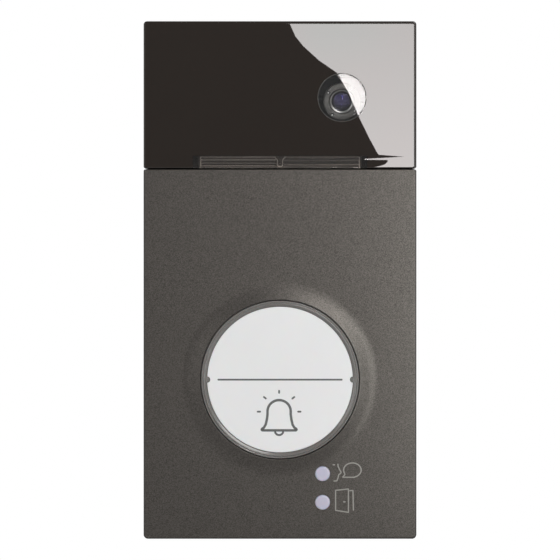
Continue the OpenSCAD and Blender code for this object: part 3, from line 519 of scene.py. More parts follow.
# ---------- Camera window ----------
# Smoked polycarbonate shell with polished faces over the top of the panel, bonded to its black
# mask; a round hole takes the clear lens window.
lens_low, lens_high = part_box("lens_window")
lens_x, lens_up = (lens_low.x + lens_high.x) / 2, (lens_low.z + lens_high.z) / 2
lens_r = 8.3 * mm
window_inside = face - 2.2 * mm
window_wall = 2 * mm
window_hole = [(lens_r + 0.05 * mm, window_inside), (lens_r + 0.05 * mm, face - 0.04 * mm),
               (lens_r + 0.09 * mm, face), (lens_r + 0.5 * mm, face)]
window = skin("smoked_window",
              shell(window_low.z, window_high.z, split_corner, top_corner, (split_edge, 1), (lens_x, lens_up),
                    window_hole, window_wall, window_inside))


def block(x, up, out):
    """Grid of a closed box between pairs of bounds: its outline carried along out, drawn to a point at both ends."""
    (x0, x1), (up0, up1), (out0, out1) = x, up, out
    corners = np.array([(x0, up0), (x1, up0), (x1, up1), (x0, up1), (x0, up0)])
    middle = np.broadcast_to(corners[:4].mean(0), corners.shape)
    return np.stack([stand(*line.T, z) for line, z in ((middle, out0), (corners, out0), (corners, out1),
                                                       (middle, out1))])


# The window has no wall along the split, where the sound comes out
inner_x = half_width - window_wall
drilled(window, skin("foot_cutter", block((-inner_x, inner_x), (window_low.z - 1 * mm, window_low.z + 3 * mm),
                                          (back - 1 * mm, window_inside))))


def see_through(material, tint):
    """Lets lamps shine through a clear piece: rays that look for a lamp pass a plain tinted Transparent."""
    tree = material.node_tree
    shader, target = tree.nodes["Principled BSDF"], tree.nodes["Material Output"]
    path, clear = tree.nodes.new("ShaderNodeLightPath"), tree.nodes.new("ShaderNodeBsdfTransparent")
    both = tree.nodes.new("ShaderNodeMixShader")
    clear.inputs["Color"].default_value = (*tint, 1.0)
    tree.links.new(path.outputs["Is Shadow Ray"], both.inputs["Fac"])
    tree.links.new(shader.outputs["BSDF"], both.inputs[1])
    tree.links.new(clear.outputs["BSDF"], both.inputs[2])
    tree.links.new(both.outputs["Shader"], target.inputs["Surface"])
    return material


smoked = see_through(finish("window_smoked", moulded, (0.74, 0.69, 0.65, 1), (0.78, 0.73, 0.69, 1),
                            (0.0, 0.012),
                            sizes={"Clouds": 25.0}, Transmission_Weight=0.99, IOR=1.5), (0.8, 0.76, 0.72))
window_black = finish("window_border_black", moulded, tone(34, 27, 22), tone(38, 31, 26), (0.0, 0.012),
                      sizes={"Clouds": 25.0}, IOR=1.5)

# Behind the polished face the window is printed black, apart from a strip in front of the sound guide
guide_low, guide_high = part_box("sound_guide")
strip_x, strip_up = guide_high.x + 2.2 * mm, guide_high.z + 0.25 * mm
cuts = bmesh.new()
cuts.from_mesh(window.data)
for at, across in (((strip_x, 0, 0), (1, 0, 0)), ((-strip_x, 0, 0), (1, 0, 0)),
                   ((0, 0, strip_up), (0, 0, 1))):
    bmesh.ops.bisect_plane(cuts, geom=[*cuts.verts, *cuts.edges, *cuts.faces], plane_co=at, plane_no=across)
cuts.to_mesh(window.data)
cuts.free()
x, up, out, lean = face_places(window)
paint(window, [smoked, window_black], (np.abs(x) > strip_x) | (up > strip_up))
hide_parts("camera_window")
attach(window, "panel")

# ---------- Lens window ----------
# Clear flat pane over the camera, turned and polished, standing a hair proud of the window, with a
# flange that seats behind the window's hole.
flange_r = (lens_high.x - lens_low.x) / 2
pane_face, pane, rim = -lens_low.y, 1.2 * mm, 0.16 * mm
pane_profile = [(0, pane_face - pane), (lens_r - pane, pane_face - pane),
                (lens_r - pane, window_inside - 1.2 * mm),
                (flange_r - 0.1 * mm, window_inside - 1.2 * mm), (flange_r, window_inside - 1.1 * mm),
                (flange_r, window_inside - 0.1 * mm), (flange_r - 0.1 * mm, window_inside),
                (lens_r, window_inside),
                (lens_r, pane_face - rim), (lens_r - rim, pane_face), (lens_r - 0.5 * mm, pane_face),
                (0, pane_face)]
pane_piece = skin("lens_pane", turned(pane_profile, lens_x, lens_up, 96))
clear = see_through(finish("lens_window_clear", moulded, (0.93, 0.93, 0.93, 1), (0.98, 0.98, 0.98, 1),
                           (0.0, 0.02),
                           Transmission_Weight=1.0, IOR=1.5), (0.8, 0.8, 0.8))
ground = finish("pane_ground_rim", moulded, tone(104, 102, 99), tone(120, 118, 115), (0.5, 0.7))
x, up, out, lean = face_places(pane_piece)
around = np.hypot(x - lens_x, up - lens_up)
paint(pane_piece, [clear, ground], (around > lens_r - rim) & (out > pane_face - rim) & (lean > 0.3))
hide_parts("lens_window")
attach(pane_piece, "panel")

# ---------- Camera ----------
# A lens module that tilts by hand on two trunnions: grey bezel with four infrared lights in its
# face, black barrel, and a glass front lens with a purple anti-reflection coating.
hinge = next(joint for joint in frame["joints"] if joint["name"] == "camera_tilt")
pivot = np.array(hinge["pos_m"])
aim = np.radians(9)                        # the barrel looks down by this much as installed


def aimed(grid):
    """Turns points given about the tilt axis, with y towards the wall, down by aim: a turn about x at the pivot."""
    x, y, z = np.moveaxis(grid, -1, 0)
    return pivot + np.stack([x, y * np.cos(aim) - z * np.sin(aim), y * np.sin(aim) + z * np.cos(aim)], -1)


def lens_part(name, material, body_slot, nodes, *profiles, columns=96, holes=()):
    """Piece turned about the lens axis from closed profiles of (radius, out from the tilt axis)."""
    piece = skin(name, *[aimed(turned(profile, 0, 0, columns)) for profile in profiles])
    if holes:
        drilled(piece, *[skin("drill", aimed(turned(rod(r, z0, z1), x, up, 32))) for r, z0, z1, x,
                         up in holes])
    piece.data.materials.clear()
    piece.data.materials.append(material)
    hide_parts(*nodes)
    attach(piece, "camera")
    return piece


led_angles = np.radians([55, 145, 235, 325])
led_reach = 5.5 * mm
led_places = list(zip(led_reach * np.cos(led_angles), led_reach * np.sin(led_angles)))
# Its pale edge tone is a painted highlight along the bezel's edges, where they catch the light
bezel_grey = finish("bezel_grey", moulded, tone(66, 64, 61), tone(80, 78, 75), (0.25, 0.35),
                    relief=0.003 * mm,
                    wear_and_glint=tone(150, 148, 145), Coat_Weight=0.3)
bezel_bore, bezel_r, bezel_foot, bezel_face = 4.2 * mm, 6.3 * mm, 5.5 * mm, 8.3 * mm
bezel_profile = softened([(bezel_bore, bezel_foot), (bezel_r, bezel_foot), (bezel_r, bezel_face - 0.25 * mm),
                          (bezel_r - 0.25 * mm, bezel_face), (bezel_bore + 0.4 * mm, bezel_face),
                          (bezel_bore, bezel_face - 0.4 * mm)], 0.1 * mm)
lens_part("lens_bezel", bezel_grey, "bezel_grey", ["camera_bezel"], bezel_profile,
          holes=[(0.72 * mm, 7.2 * mm, 9 * mm, x, up) for x, up in led_places])

# Dark domes of the infrared lights, which pass only what the eye can't see, set just under the bezel's face
led_clear = finish("led_dome", moulded, tone(20, 17, 22), tone(34, 28, 34), (0.02, 0.06), Coat_Weight=1.0)
dome = np.linspace(0, np.pi / 2, 9)
dome_r, dome_foot, dome_shoulder, dome_high = 0.66 * mm, 6.6 * mm, 7.7 * mm, 0.55 * mm
led_grids = []
for x, up in led_places:
    profile = [(0, dome_foot), (dome_r, dome_foot), (dome_r, dome_shoulder)]
    profile += list(zip(dome_r * np.cos(dome), dome_shoulder + dome_high * np.sin(dome)))[1:]
    led_grids.append(aimed(turned(profile, x, up, 24)))
leds = skin("bezel_light_domes", *led_grids)
# Painted highlight: a white spot on each dome, standing in for the glint of the lamp on it
painted_glint = finish("led_painted_glint", moulded, tone(205, 204, 200), tone(228, 227, 223), (0.2, 0.3))
x, up, out, lean = face_places(leds)
tips = np.array([aimed(stand(px, pup, 8.2 * mm)) for px, pup in led_places])
painted_glint_shift, painted_glint_r = 0.12 * mm, 0.26 * mm   # the painted highlight sits a little off the middle of its dome, towards the lower left
near = np.hypot(x[:, None] - tips[:, 0] + painted_glint_shift, up[:, None] - tips[:, 2] + painted_glint_shift).min(1)
paint(leds, [led_clear, painted_glint], (near < painted_glint_r) & (lean > 0.5))
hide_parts("bezel_leds")
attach(leds, "camera")

# Its pale edge tone is a painted highlight that draws the barrel's steps and rim as light rings
barrel_black = finish("barrel_black", moulded, tone(8, 8, 9), tone(16, 16, 17), (0.35, 0.5),
                      relief=0.006 * mm,
                      wear_and_glint=tone(150, 150, 156))
steps_r = np.repeat(np.linspace(2.4, 3.5, 5), 2) * mm
steps_out = np.repeat(np.linspace(5.2, 6.15, 5), 2)[1:-1] * mm
stepped = list(zip(steps_r[1:-1], steps_out))
barrel_r, barrel_bore, barrel_foot, barrel_front = 4 * mm, 2.4 * mm, -2.2 * mm, 7 * mm
barrel_profile = [(barrel_r, barrel_front), (barrel_r, barrel_foot), (barrel_bore, barrel_foot),
                  (barrel_bore, 5.2 * mm), *stepped, (3.5 * mm, 6.2 * mm), (3.5 * mm, 6.9 * mm),
                  (3.94 * mm, 7.14 * mm), (barrel_r, 7.1 * mm), (barrel_r, barrel_front)]
barrel = lens_part("lens_barrel_shell", barrel_black, "camera_black", ["lens_barrel"], barrel_profile)

# The rim round the lens is machined bright
rim_bright = finish("lens_rim_bright", drawn, tone(140, 139, 137), tone(166, 165, 163), (0.26, 0.38),
                    Metallic=1.0)
x, up, out, lean = face_places(barrel)
axis_r = np.hypot(x - pivot[0], (up - pivot[2]) * np.cos(aim) + (out + pivot[1]) * np.sin(aim))
paint(barrel, [barrel_black, rim_bright], (axis_r > 3.52 * mm) & (lean > 0.6) & (out + pivot[1] > 6 * mm))

# The lens is a solid meniscus; the coating is a thin film on its surface
lens_bulge, lens_edge = 1.1 * mm, 3.45 * mm
arc = np.linspace(1, 0, 14)
cap_r = (lens_edge ** 2 + lens_bulge ** 2) / (2 * lens_bulge)
lens_profile = [(0, 6.25 * mm), (lens_edge - 0.1 * mm, 6.25 * mm), (lens_edge, 6.35 * mm)]
lens_profile += list(zip(lens_edge * arc, 6.5 * mm + lens_bulge - cap_r
                         + np.sqrt(cap_r ** 2 - (lens_edge * arc) ** 2)))
inner_r, inner_foot, inner_edge = 2.3 * mm, 2.6 * mm, 3.3 * mm
inner_lens = [(0, inner_foot), (inner_r, inner_foot), (inner_r, inner_edge)]
inner_lens += list(zip(inner_r * arc, inner_edge + 0.9 * mm * (1 - arc ** 2)))[1:]
bead_r, bead_foot = 0.7 * mm, 2.22 * mm
bead = [(0, bead_foot), (bead_r, bead_foot)]
bead += list(zip(bead_r * np.cos(dome), bead_foot + 0.34 * mm * np.sin(dome)))[1:]
pupil = [(0, 1.9 * mm), (2.36 * mm, 1.9 * mm), (2.36 * mm, 2.2 * mm), (0, 2.2 * mm)]
lens_glass = see_through(finish("lens_glass", moulded, (0.93, 0.93, 0.96, 1), (0.97, 0.97, 0.99, 1),
                                (0.0, 0.02),
                                Transmission_Weight=1.0, IOR=1.5, Specular_IOR_Level=0.25,
                                Specular_Tint=(0.6, 0.56, 0.8, 1.0)), (0.93, 0.93, 0.95))
coated = see_through(finish("lens_coated", moulded, (0.9, 0.9, 0.94, 1), (0.95, 0.95, 0.98, 1), (0.0, 0.03),
                            Transmission_Weight=1.0, IOR=1.62, Specular_IOR_Level=0.8,
                            Specular_Tint=(0.26, 0.2, 1.0, 1.0)), (0.9, 0.9, 0.93))
lens_part("lens_glass_front", lens_glass, "lens_glass", ["front_lens"], lens_profile, bead)
rear_glass = skin("lens_glass_rear", aimed(turned(inner_lens, 0, 0, 96)))
rear_glass.data.materials.append(coated)
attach(rear_glass, "camera")
iris = skin("iris_plate", aimed(turned(pupil, 0, 0, 48)))
iris.data.materials.append(barrel_black)
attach(iris, "camera")
camera_black = finish("camera_black", moulded, tone(9, 9, 9), tone(16, 16, 16), (0.5, 0.7), relief=0.01 * mm)
dress(camera_black, "camera_body")
flex_amber = finish("flex_amber", tracks, tone(150, 92, 24), tone(196, 136, 48), (0.2, 0.35),
                    relief=0.01 * mm)
dress(flex_amber, "camera_flex")

# ---------- Call button ----------
# Grey translucent ring with a narrow ridge and two half-round pegs, carrying a loose white disc
# under which lamps shine through a clear guide; all of it slides in on pins against four springs.
ring_low, ring_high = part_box("button_ring")
ring_r, guide_bore, disc_bore = 27 * mm, 22 * mm, 25 * mm
disc_r = (disc_high.x - disc_low.x) / 2
disc_face = -disc_low.y
disc_back = -disc_high.y
crest = -ring_low.y
ridge_r, ridge_half, ridge_high = 25.98 * mm, 0.24 * mm, 0.22 * mm
ring_back = -ring_high.y
flange = (ring_high.x - ring_low.x) / 2
half_turn = np.linspace(0, np.pi, 20)
ring_profile = [(guide_bore, ring_back), (flange - 0.15 * mm, ring_back), (flange, ring_back + 0.15 * mm),
                (flange, 23.65 * mm), (flange - 0.15 * mm, 23.8 * mm), (ring_r + 0.1 * mm, 23.8 * mm),
                (ring_r, 23.9 * mm), (ring_r, crest - 0.55 * mm), (ring_r - 0.05 * mm, crest - 0.42 * mm),
                (ring_r - 0.18 * mm, crest - 0.3 * mm), (ring_r - 0.34 * mm, crest - 0.27 * mm),
                (ridge_r + ridge_half + 0.08 * mm, crest - 0.4 * mm)]
ring_profile += list(zip(ridge_r + ridge_half * np.cos(half_turn),
                         crest - ridge_high * (1 - np.sin(half_turn))))
ring_profile += [(ridge_r - ridge_half - 0.04 * mm, crest - 0.26 * mm), (25.3 * mm, crest - 0.42 * mm),
                 (25.1 * mm, disc_face - 0.1 * mm), (disc_bore, disc_face - 0.3 * mm),
                 (disc_bore, disc_back + 0.1 * mm), (24.9 * mm, disc_back), (22.1 * mm, disc_back),
                 (guide_bore, disc_back - 0.1 * mm), (guide_bore, ring_back)]
peg_r = 0.88 * mm
peg = [(0, disc_back + 0.2 * mm), (peg_r, disc_back + 0.2 * mm), (peg_r, disc_face - 0.3 * mm)]
peg += list(zip(peg_r - 0.25 * mm * (1 - np.cos(dome)), disc_face - 0.3 * mm + 0.25 * mm * np.sin(dome)))[1:]
peg += [(0, disc_face - 0.05 * mm)]
ring = skin("call_ring", turned(ring_profile, 0, button_up, 180),
            *[turned(peg, side * disc_bore, button_up, 40) for side in (-1, 1)])
# Its pale edge tone is a painted highlight along the ring's ridge and outer rim
ring_grey = finish("ring_plastic", moulded, tone(100, 97, 94), tone(116, 113, 109), (0.2, 0.3),
                   relief=0.002 * mm,
                   wear_and_glint=tone(156, 153, 149), Coat_Weight=1.0, Coat_Roughness=0.08, Subsurface_Weight=0.25,
                   Subsurface_Scale=0.6 * mm)
ring.data.materials.append(ring_grey)
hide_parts("button_ring")
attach(ring, "call_button")


def notched(radius, columns=360, notch=1.07 * mm, reach=25 * mm):
    """Radius of the disc's rim by angle: the rim, or the near side of a round notch centred at reach on either
    side: reach cos a - sqrt(notch^2 - reach^2 sin^2 a)."""
    spread = np.linspace(-1, 1, 41) * np.arcsin(notch / reach)
    a = np.unique(np.concatenate([np.linspace(0, 2 * np.pi, columns, endpoint=False),
                                  spread % (2 * np.pi), (spread + np.pi) % (2 * np.pi)]).round(9))
    a = np.concatenate([a, a[:1] + 2 * np.pi])
    room = notch ** 2 - (reach * np.sin(a)) ** 2
    bite = reach * np.abs(np.cos(a)) - np.sqrt(np.maximum(room, 0))
    return a, np.where(room > 0, np.minimum(radius, bite), radius)


a, rim = notched(disc_r)
turn = np.linspace(0, np.pi / 2, 6)
ease = 0.22 * mm
disc_rows = [(0 * rim, disc_back), (rim * 0.9, disc_back), (rim - 0.12 * mm, disc_back),
             (rim, disc_back + 0.12 * mm)]
disc_rows += [(rim - ease * (1 - np.cos(t)), disc_face - ease * (1 - np.sin(t))) for t in turn]
disc_rows += [(rim - 2 * ease, disc_face), (rim * 0.93, disc_face), (rim * 0.5, disc_face),
              (0 * rim, disc_face)]
disc = skin("call_disc", np.stack([stand(r * np.cos(a), button_up + r * np.sin(a), z) for r, z in disc_rows]))
disc_white = finish("disc_white", moulded, tone(233, 233, 233), tone(239, 239, 239), (0.34, 0.46),
                    relief=0.003 * mm,
                    sizes={"Clouds": 30.0}, Subsurface_Weight=0.15, Subsurface_Scale=0.8 * mm)
disc.data.materials.append(disc_white)
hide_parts("name_disc")
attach(disc, "call_button")

carrier = finish("carrier_white", moulded, tone(214, 214, 210), tone(230, 230, 226), (0.4, 0.55),
                 relief=0.01 * mm)
dress(carrier, "button_carrier")
guide = see_through(finish("guide_clear", moulded, (0.86, 0.88, 0.9, 1), (0.94, 0.95, 0.96, 1), (0.02, 0.08),
                           Transmission_Weight=1.0, IOR=1.49), (0.85, 0.87, 0.88))
dress(guide, "light_guide")
silicone = finish("seal_silicone", moulded, tone(46, 46, 48), tone(66, 66, 68), (0.5, 0.7), relief=0.02 * mm)
dress(silicone, "button_seal")

# ---------- Printing ----------
# Pad-printed line and bell on the disc, and a sign beside each status light: a speaking face and an
# open door. Each stroke is a thin raised film of ink with round ends.


def stroke(points, width, surface, soft=0.0, step=0.06 * mm, film=0.02 * mm):
    """Ink line, or strip of painted highlight, along (x, height) points: a flat section of half width sqrt(h^2 - (h
    - s)^2) within h of an end, where s is the way from it, carried along the path. soft rounds bends by a running
    mean of that length."""
    points = np.asarray(points, float)
    joined = np.allclose(points[0], points[-1])
    gaps = np.linalg.norm(np.diff(points, axis=0), axis=1)
    way = np.concatenate([[0], np.cumsum(gaps)])
    s = np.linspace(0, way[-1], max(8, int(way[-1] / step)))
    line = np.stack([np.interp(s, way, points[:, k]) for k in (0, 1)], -1)
    reach = int(soft / step)
    if reach:
        if joined:
            padded = np.concatenate([line[-reach - 1:-1], line, line[1:reach + 1]])
        else:
            padded = np.concatenate([2 * line[:1] - line[reach:0:-1], line,
                                     2 * line[-1:] - line[-2:-reach - 2:-1]])
        total = np.cumsum(np.concatenate([np.zeros((1, 2)), padded]), 0)
        line = (total[2 * reach + 1:] - total[:-2 * reach - 1]) / (2 * reach + 1)
    along = np.gradient(line, axis=0)
    if joined:
        along[0] = along[-1] = line[1] - line[-2]
    along /= np.linalg.norm(along, axis=1, keepdims=True)
    side = np.stack([-along[:, 1], along[:, 0]], -1)
    half = np.full(len(line), width / 2)
    if not joined:
        s = np.concatenate([[0], np.cumsum(np.linalg.norm(np.diff(line, axis=0), axis=1))])
        left = np.minimum(np.minimum(s, s[-1] - s), width / 2)
        half = np.sqrt(np.maximum((width / 2) ** 2 - (width / 2 - left) ** 2, 0))
    section = [(-1, -0.5), (1, -0.5), (1, 1), (-1, 1), (-1, -0.5)]
    return np.stack([stand(*(line + side * half[:, None] * across).T, surface + film * rise)
                     for across, rise in section])


def arc_points(x, up, rx, ry, start, stop, count=40):
    """Points of an ellipse's arc between two angles in degrees."""
    a = np.radians(np.linspace(start, stop, count))
    return list(zip(x + rx * np.cos(a), up + ry * np.sin(a)))


def mirrored(points, x):
    """The same points with their way back on the other side of a vertical line at x."""
    return points + [(2 * x - px, up) for px, up in points[::-1]]


def print_on(name, ink, body, strokes):
    """One piece of ink from its strokes, or of painted highlight as on the sound guide, riding on the body it is
    printed on.
    """
    piece = skin(name, *strokes, crease=60)
    piece.data.materials.append(ink)
    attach(piece, body)
    return piece


bell_x = -0.3 * mm
bell_up = button_up - 10.85 * mm           # centre of the bell's round top
bell_half = 3.97 * mm
foot_up = button_up - 17.35 * mm
bell = [(bell_x, foot_up), (bell_x - 5.75 * mm, foot_up), (bell_x - 6.0 * mm, foot_up + 0.25 * mm),
        (bell_x - 5.75 * mm, foot_up + 0.62 * mm), (bell_x - 5.2 * mm, foot_up + 0.95 * mm),
        (bell_x - 4.6 * mm, foot_up + 2.0 * mm), (bell_x - 4.2 * mm, foot_up + 3.7 * mm),
        (bell_x - bell_half, foot_up + 5.4 * mm), (bell_x - bell_half, bell_up)]
bell += arc_points(bell_x, bell_up, bell_half, 3.85 * mm, 180, 90, 24)[1:]
bell = mirrored(bell, bell_x)
clapper_up = foot_up - 0.25 * mm
disc_strokes = [stroke([(-21.4 * mm, button_up), (21.4 * mm, button_up)], 0.6 * mm, disc_face),
                stroke(bell, 0.85 * mm, disc_face, soft=0.16 * mm),
                stroke(arc_points(bell_x, clapper_up, 1.4 * mm, 1.35 * mm, 180, 360, 30), 0.7 * mm,
                       disc_face)]
ray_up = foot_up + 6.4 * mm
rays = [[(bell_x, button_up - 3.5 * mm), (bell_x, button_up - 4.8 * mm)]]
for side in (-1, 1):
    rays += [[(bell_x + side * 4.3 * mm, button_up - 6.65 * mm),
              (bell_x + side * 5.45 * mm, button_up - 5.75 * mm)],
             [(bell_x + side * 6.2 * mm, ray_up), (bell_x + side * 7.65 * mm, ray_up)]]
disc_strokes += [stroke(ray, 0.62 * mm, disc_face) for ray in rays]
ink_grey = finish("disc_ink", moulded, tone(88, 88, 87), tone(100, 100, 99), (0.4, 0.55))
print_on("disc_print", ink_grey, "call_button", disc_strokes)

(talk_x, talk_up), (door_x, door_up) = pipe_centres
bubble_x, bubble_up = talk_x + 10.2 * mm, talk_up + 1.28 * mm
bubble = arc_points(bubble_x, bubble_up, 3.0 * mm, 2.45 * mm, 285, 570, 60)
bubble += [(talk_x + 7.6 * mm, talk_up - 0.35 * mm), (talk_x + 6.85 * mm, talk_up - 1.15 * mm),
           (talk_x + 8.6 * mm, talk_up - 1.18 * mm),
           (talk_x + 10.8 * mm, talk_up - 1.2 * mm), bubble[0]]
head = [(5.2, 3.5), (5.3, 2.6), (5.75, 1.6), (6.35, 0.55), (6.1, 0.1), (5.5, -0.3), (5.35, -1.2), (4.9, -2.4),
        (3.7, -2.5)]
leaf = [(4.45, 4.15), (8.85, 4.6), (8.85, -3.4), (4.45, -2.7), (4.45, 4.15)]
frame_line = [(9.1, 4.05), (10.4, 4.05), (10.55, -2.8)]


def beside(x, up, points):
    """Points in millimetres from a light pipe's centre, as places on the panel."""
    return [(x + px * mm, up + pup * mm) for px, pup in points]


sign_line = 0.42 * mm
sign_strokes = [stroke(bubble, sign_line, face, soft=0.12 * mm),
                stroke(beside(talk_x, talk_up, head), sign_line, face, soft=0.16 * mm),
                stroke(beside(talk_x, talk_up, [(3.4, 3.1), (4.3, 3.1)]), sign_line, face),
                stroke(beside(door_x, door_up, leaf), sign_line, face),
                stroke(beside(door_x, door_up, frame_line), sign_line, face),
                stroke(beside(door_x, door_up, [(7.0, 0.2), (7.9, 0.2)]), sign_line, face)]
ink_pale = finish("sign_ink", moulded, tone(136, 134, 128), tone(150, 148, 142), (0.45, 0.6))
print_on("sign_print", ink_pale, "panel", sign_strokes)

# Painted highlights: pale thin strips along the edges of the sound guide's slats, its end and its centre clip, just
# behind the smoked strip, standing in for the light those edges catch
guide_face, glint_width = -guide_low.y, 0.15 * mm
slat_top = guide_high.z - 0.1 * mm
glint_strokes = [stroke([(guide_low.x + 0.4 * mm, up), (-1.6 * mm, up)], width, guide_face, film=0.1 * mm)
        for up, width in ((slat_top, glint_width), (slat_top - 1.0 * mm, glint_width), (slat_top - 2.1 * mm, 0.06 * mm),
                          (slat_top - 3.0 * mm, 0.06 * mm))]
glint_strokes += [stroke([(1.4 * mm, up), (guide_high.x - 0.4 * mm, up)], width, guide_face, film=0.1 * mm)
         for up, width in ((slat_top, 0.12 * mm), (slat_top - 1.3 * mm, 0.06 * mm),
                           (slat_top - 2.6 * mm, 0.06 * mm))]
glint_strokes += [stroke([(side * (guide_high.x - 0.5 * mm), slat_top),
                 (side * (guide_high.x - 0.5 * mm), guide_low.z + 0.2 * mm)],
                glint_width, guide_face, film=0.1 * mm) for side in (-1, 1)]
clip = [(-1.9 * mm, slat_top), (-0.9 * mm, slat_top - 0.9 * mm), (-0.95 * mm, guide_low.z + 0.9 * mm),
        (-0.5 * mm, guide_low.z + 0.35 * mm)]
glint_strokes.append(stroke(mirrored(clip, 0.0), glint_width, guide_face, soft=0.12 * mm, film=0.1 * mm))
hook = [(guide_low.x - 1.9 * mm, slat_top - 1.1 * mm), (guide_low.x - 1.1 * mm, slat_top - 0.5 * mm),
        (guide_low.x - 0.3 * mm, slat_top - 1.1 * mm)]
glint_strokes.append(stroke(hook, 0.2 * mm, guide_face, film=0.1 * mm))
guide_painted_glint = finish("louvre_painted_highlight", moulded, tone(196, 194, 190), tone(222, 220, 216), (0.3, 0.45))
print_on("sound_guide_painted_highlights", guide_painted_glint, "panel", glint_strokes)

# ---------- Status lights ----------
# Two milky light pipes pressed through the cover from behind, each with a flange under it and a
# faintly domed end; lamps on the board light them from the back.
pipe_milky = finish("pipe_milky", moulded, tone(190, 188, 207), tone(202, 199, 216), (0.22, 0.34),
                    Subsurface_Weight=0.4, Subsurface_Scale=1.5 * mm)
for name, (x, up) in zip(("talk_light_pipe", "door_light_pipe"), pipe_centres):
    low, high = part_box(name)
    pipe_r, pipe_flange = 2.55 * mm, (high.x - low.x) / 2
    end, foot = -low.y, -high.y
    dome_fall = np.linspace(1, 0, 6)
    profile = [(0, foot), (pipe_r - 0.1 * mm, foot), (pipe_r, foot + 0.1 * mm),
               (pipe_r, cover_inside - 1.1 * mm),
               (pipe_flange, cover_inside - 1.1 * mm), (pipe_flange, cover_inside - 0.1 * mm),
               (pipe_r, cover_inside - 0.1 * mm), (pipe_r, end - 0.35 * mm),
               (pipe_r - 0.05 * mm, end - 0.2 * mm)]
    profile += list(zip((pipe_r - 0.2 * mm) * dome_fall, end - 0.1 * mm * dome_fall ** 2))
    piece = skin(name + "_milky", turned(profile, x, up, 64))
    piece.data.materials.append(pipe_milky)
    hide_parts(name)
    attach(piece, "panel")

# ---------- Studio ----------
# Pale floor under the panel, white surroundings, a large soft lamp high on the right, a weak one on
# the left, and two bright cards: one whose edge the polished window mirrors, and a strip beside the panel.
floor_mesh = bpy.data.meshes.new("floor")
span = 4.0
floor_mesh.from_pydata([(-span, -span, cover_low.z), (span, -span, cover_low.z), (span, span, cover_low.z),
                        (-span, span, cover_low.z)], [], [(0, 1, 2, 3)])
floor_piece = bpy.data.objects.new("floor", floor_mesh)
bpy.context.scene.collection.objects.link(floor_piece)
floor_white = bpy.data.materials.new("floor_white")
floor_white.use_nodes = True
floor_shader = floor_white.node_tree.nodes["Principled BSDF"]
floor_shader.inputs["Base Color"].default_value = (0.9, 0.9, 0.9, 1)
floor_shader.inputs["Roughness"].default_value = 0.9
floor_tree = floor_white.node_tree
lit, seen, both = (floor_tree.nodes.new(kind) for kind in ("ShaderNodeEmission", "ShaderNodeLightPath",
                                                           "ShaderNodeMixShader"))
floor_tree.links.new(seen.outputs["Is Camera Ray"], both.inputs["Fac"])
floor_tree.links.new(floor_shader.outputs["BSDF"], both.inputs[1])
floor_tree.links.new(lit.outputs["Emission"], both.inputs[2])
floor_tree.links.new(both.outputs["Shader"], floor_tree.nodes["Material Output"].inputs["Surface"])
floor_mesh.materials.append(floor_white)

camera_distance, card_distance = 1.2, 0.6


def card(name, outline, distance, strength, through=False):
    """Flat light-giving sheet in front of the panel, whose mirror image on the front has the given outline: its
    points lie 1 + distance / camera distance times as far out as their images. It dims a little with height
    and has faint pink and green clouds; through lets clear pieces pass its light."""
    mesh = bpy.data.meshes.new(name)
    x, up = np.array(outline, float).T * (1 + distance / camera_distance)
    mesh.from_pydata(stand(x, up, face + distance).tolist(), [], [tuple(range(len(x)))])
    sheet = bpy.data.objects.new(name, mesh)
    bpy.context.scene.collection.objects.link(sheet)
    glow = bpy.data.materials.new(name)
    glow.use_nodes = True
    tree = glow.node_tree
    tree.nodes.remove(tree.nodes["Principled BSDF"])
    light = tree.nodes.new("ShaderNodeEmission")
    at, parts = tree.nodes.new("ShaderNodeTexCoord"), tree.nodes.new("ShaderNodeSeparateXYZ")
    fade, clouds = tree.nodes.new("ShaderNodeMapRange"), tree.nodes.new("ShaderNodeTexNoise")
    clouds.inputs["Scale"].default_value, clouds.inputs["Detail"].default_value = 13.0, 1.0
    lively = tree.nodes.new("ShaderNodeMapRange")
    lively.inputs["From Min"].default_value, lively.inputs["From Max"].default_value = 0.36, 0.64
    tree.links.new(clouds.outputs["Fac"], lively.inputs["Value"])
    tree.links.new(at.outputs["Object"], clouds.inputs["Vector"])
    tints = tree.nodes.new("ShaderNodeMix")
    tints.data_type = "RGBA"
    tints.inputs[6].default_value, tints.inputs[7].default_value = (1.0, 0.95, 0.94, 1), (0.93, 0.98, 0.96, 1)
    fade.inputs["From Min"].default_value, fade.inputs["From Max"].default_value = up.min(), up.max()
    fade.inputs["To Min"].default_value, fade.inputs["To Max"].default_value = 1.12 * strength, 0.96 * strength
    tree.links.new(at.outputs["Object"], parts.inputs["Vector"])
    tree.links.new(parts.outputs["Z"], fade.inputs["Value"])
    tree.links.new(lively.outputs["Result"], tints.inputs["Factor"])
    tree.links.new(tints.outputs[2], light.inputs["Color"])
    tree.links.new(fade.outputs["Result"], light.inputs["Strength"])
    tree.links.new(light.outputs["Emission"], tree.nodes["Material Output"].inputs["Surface"])
    mesh.materials.append(glow)
    sheet.visible_camera = sheet.visible_diffuse = sheet.visible_shadow = False
    sheet.visible_transmission = through


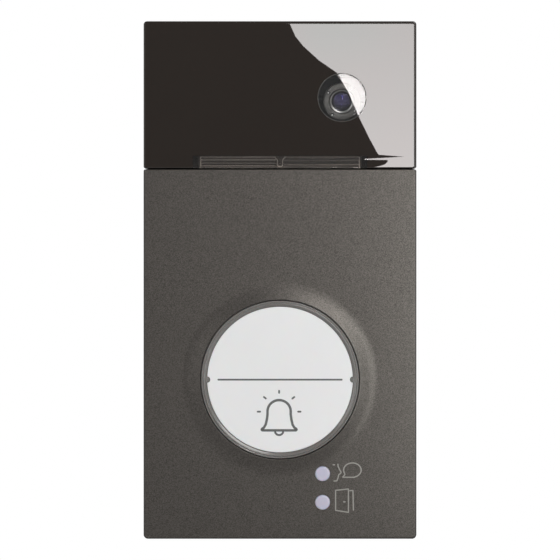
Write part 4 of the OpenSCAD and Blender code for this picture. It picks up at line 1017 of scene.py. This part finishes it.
sweep = [(2.2, 92), (3.5, 87.5), (5.2, 83.6), (8.0, 80.1), (13.4, 75.2), (19.8, 70.8), (23.6, 64.0),
         (27.4, 55.1),
         (30.6, 48.6), (33.3, 43.6)]
sweep += [(33.8, 42.9), (42.6, 42.25), (28.9, 41.5), (28.9, 41.2), (36.9, 41.1), (36.8, 40.4), (35.9, 39.6),
          (34.4, 39.1),
          (31.5, 38.5), (31.2, 38.2)]
glare = [(x * mm, up * mm) for x, up in sweep] + [(60 * mm, 38.2 * mm), (60 * mm, 92 * mm)]
card("window_glare", glare, card_distance, 13.0, through=True)
strip_distance = 0.15
card("side_strip", [(62 * mm, -80 * mm), (110 * mm, -80 * mm), (120 * mm, 110 * mm), (62 * mm, 110 * mm)],
     strip_distance, 5.5)

for name, place, size, power in (("key", (0.75, -1.05, 1.15), 1.2, 18.5),
                                 ("fill", (-1.3, -1.1, 0.4), 1.2, 6)):
    lamp = bpy.data.lights.new(name, "AREA")
    lamp.size, lamp.energy = size, power
    holder = bpy.data.objects.new(name, lamp)
    holder.location = place
    aim_line = -np.array(place)
    flat = np.hypot(aim_line[0], aim_line[1])
    holder.rotation_euler = (np.pi / 2 + np.arctan2(aim_line[2], flat), 0,
                             np.arctan2(-aim_line[0], aim_line[1]))
    bpy.context.scene.collection.objects.link(holder)

world = bpy.data.worlds.new("studio")
world.use_nodes = True
sky = world.node_tree
ambient = sky.nodes["Background"]
ambient.inputs["Strength"].default_value = 0.28
backdrop = sky.nodes.new("ShaderNodeBackground")
seen = sky.nodes.new("ShaderNodeLightPath")
choose = sky.nodes.new("ShaderNodeMixShader")
sky.links.new(seen.outputs["Is Camera Ray"], choose.inputs["Fac"])
ambient.inputs["Color"].default_value = backdrop.inputs["Color"].default_value = (1, 1, 1, 1)
sky.links.new(ambient.outputs["Background"], choose.inputs[1])
sky.links.new(backdrop.outputs["Background"], choose.inputs[2])
sky.links.new(choose.outputs["Shader"], sky.nodes["World Output"].inputs["Surface"])
bpy.context.scene.world = world

lens = bpy.data.cameras.new("camera")
picture_width = 191.86 * mm                # of the panel's front plane
lens.sensor_width, lens.lens = 36, 36 * camera_distance / picture_width
lens.clip_start, lens.clip_end = 0.01, 20
viewer = bpy.data.objects.new("camera", lens)
viewer.location = (0, -(face + camera_distance), 0)
viewer.rotation_euler = (np.pi / 2, 0, 0)
bpy.context.scene.collection.objects.link(viewer)
bpy.context.scene.camera = viewer
bpy.context.scene.view_settings.view_transform = "Standard"
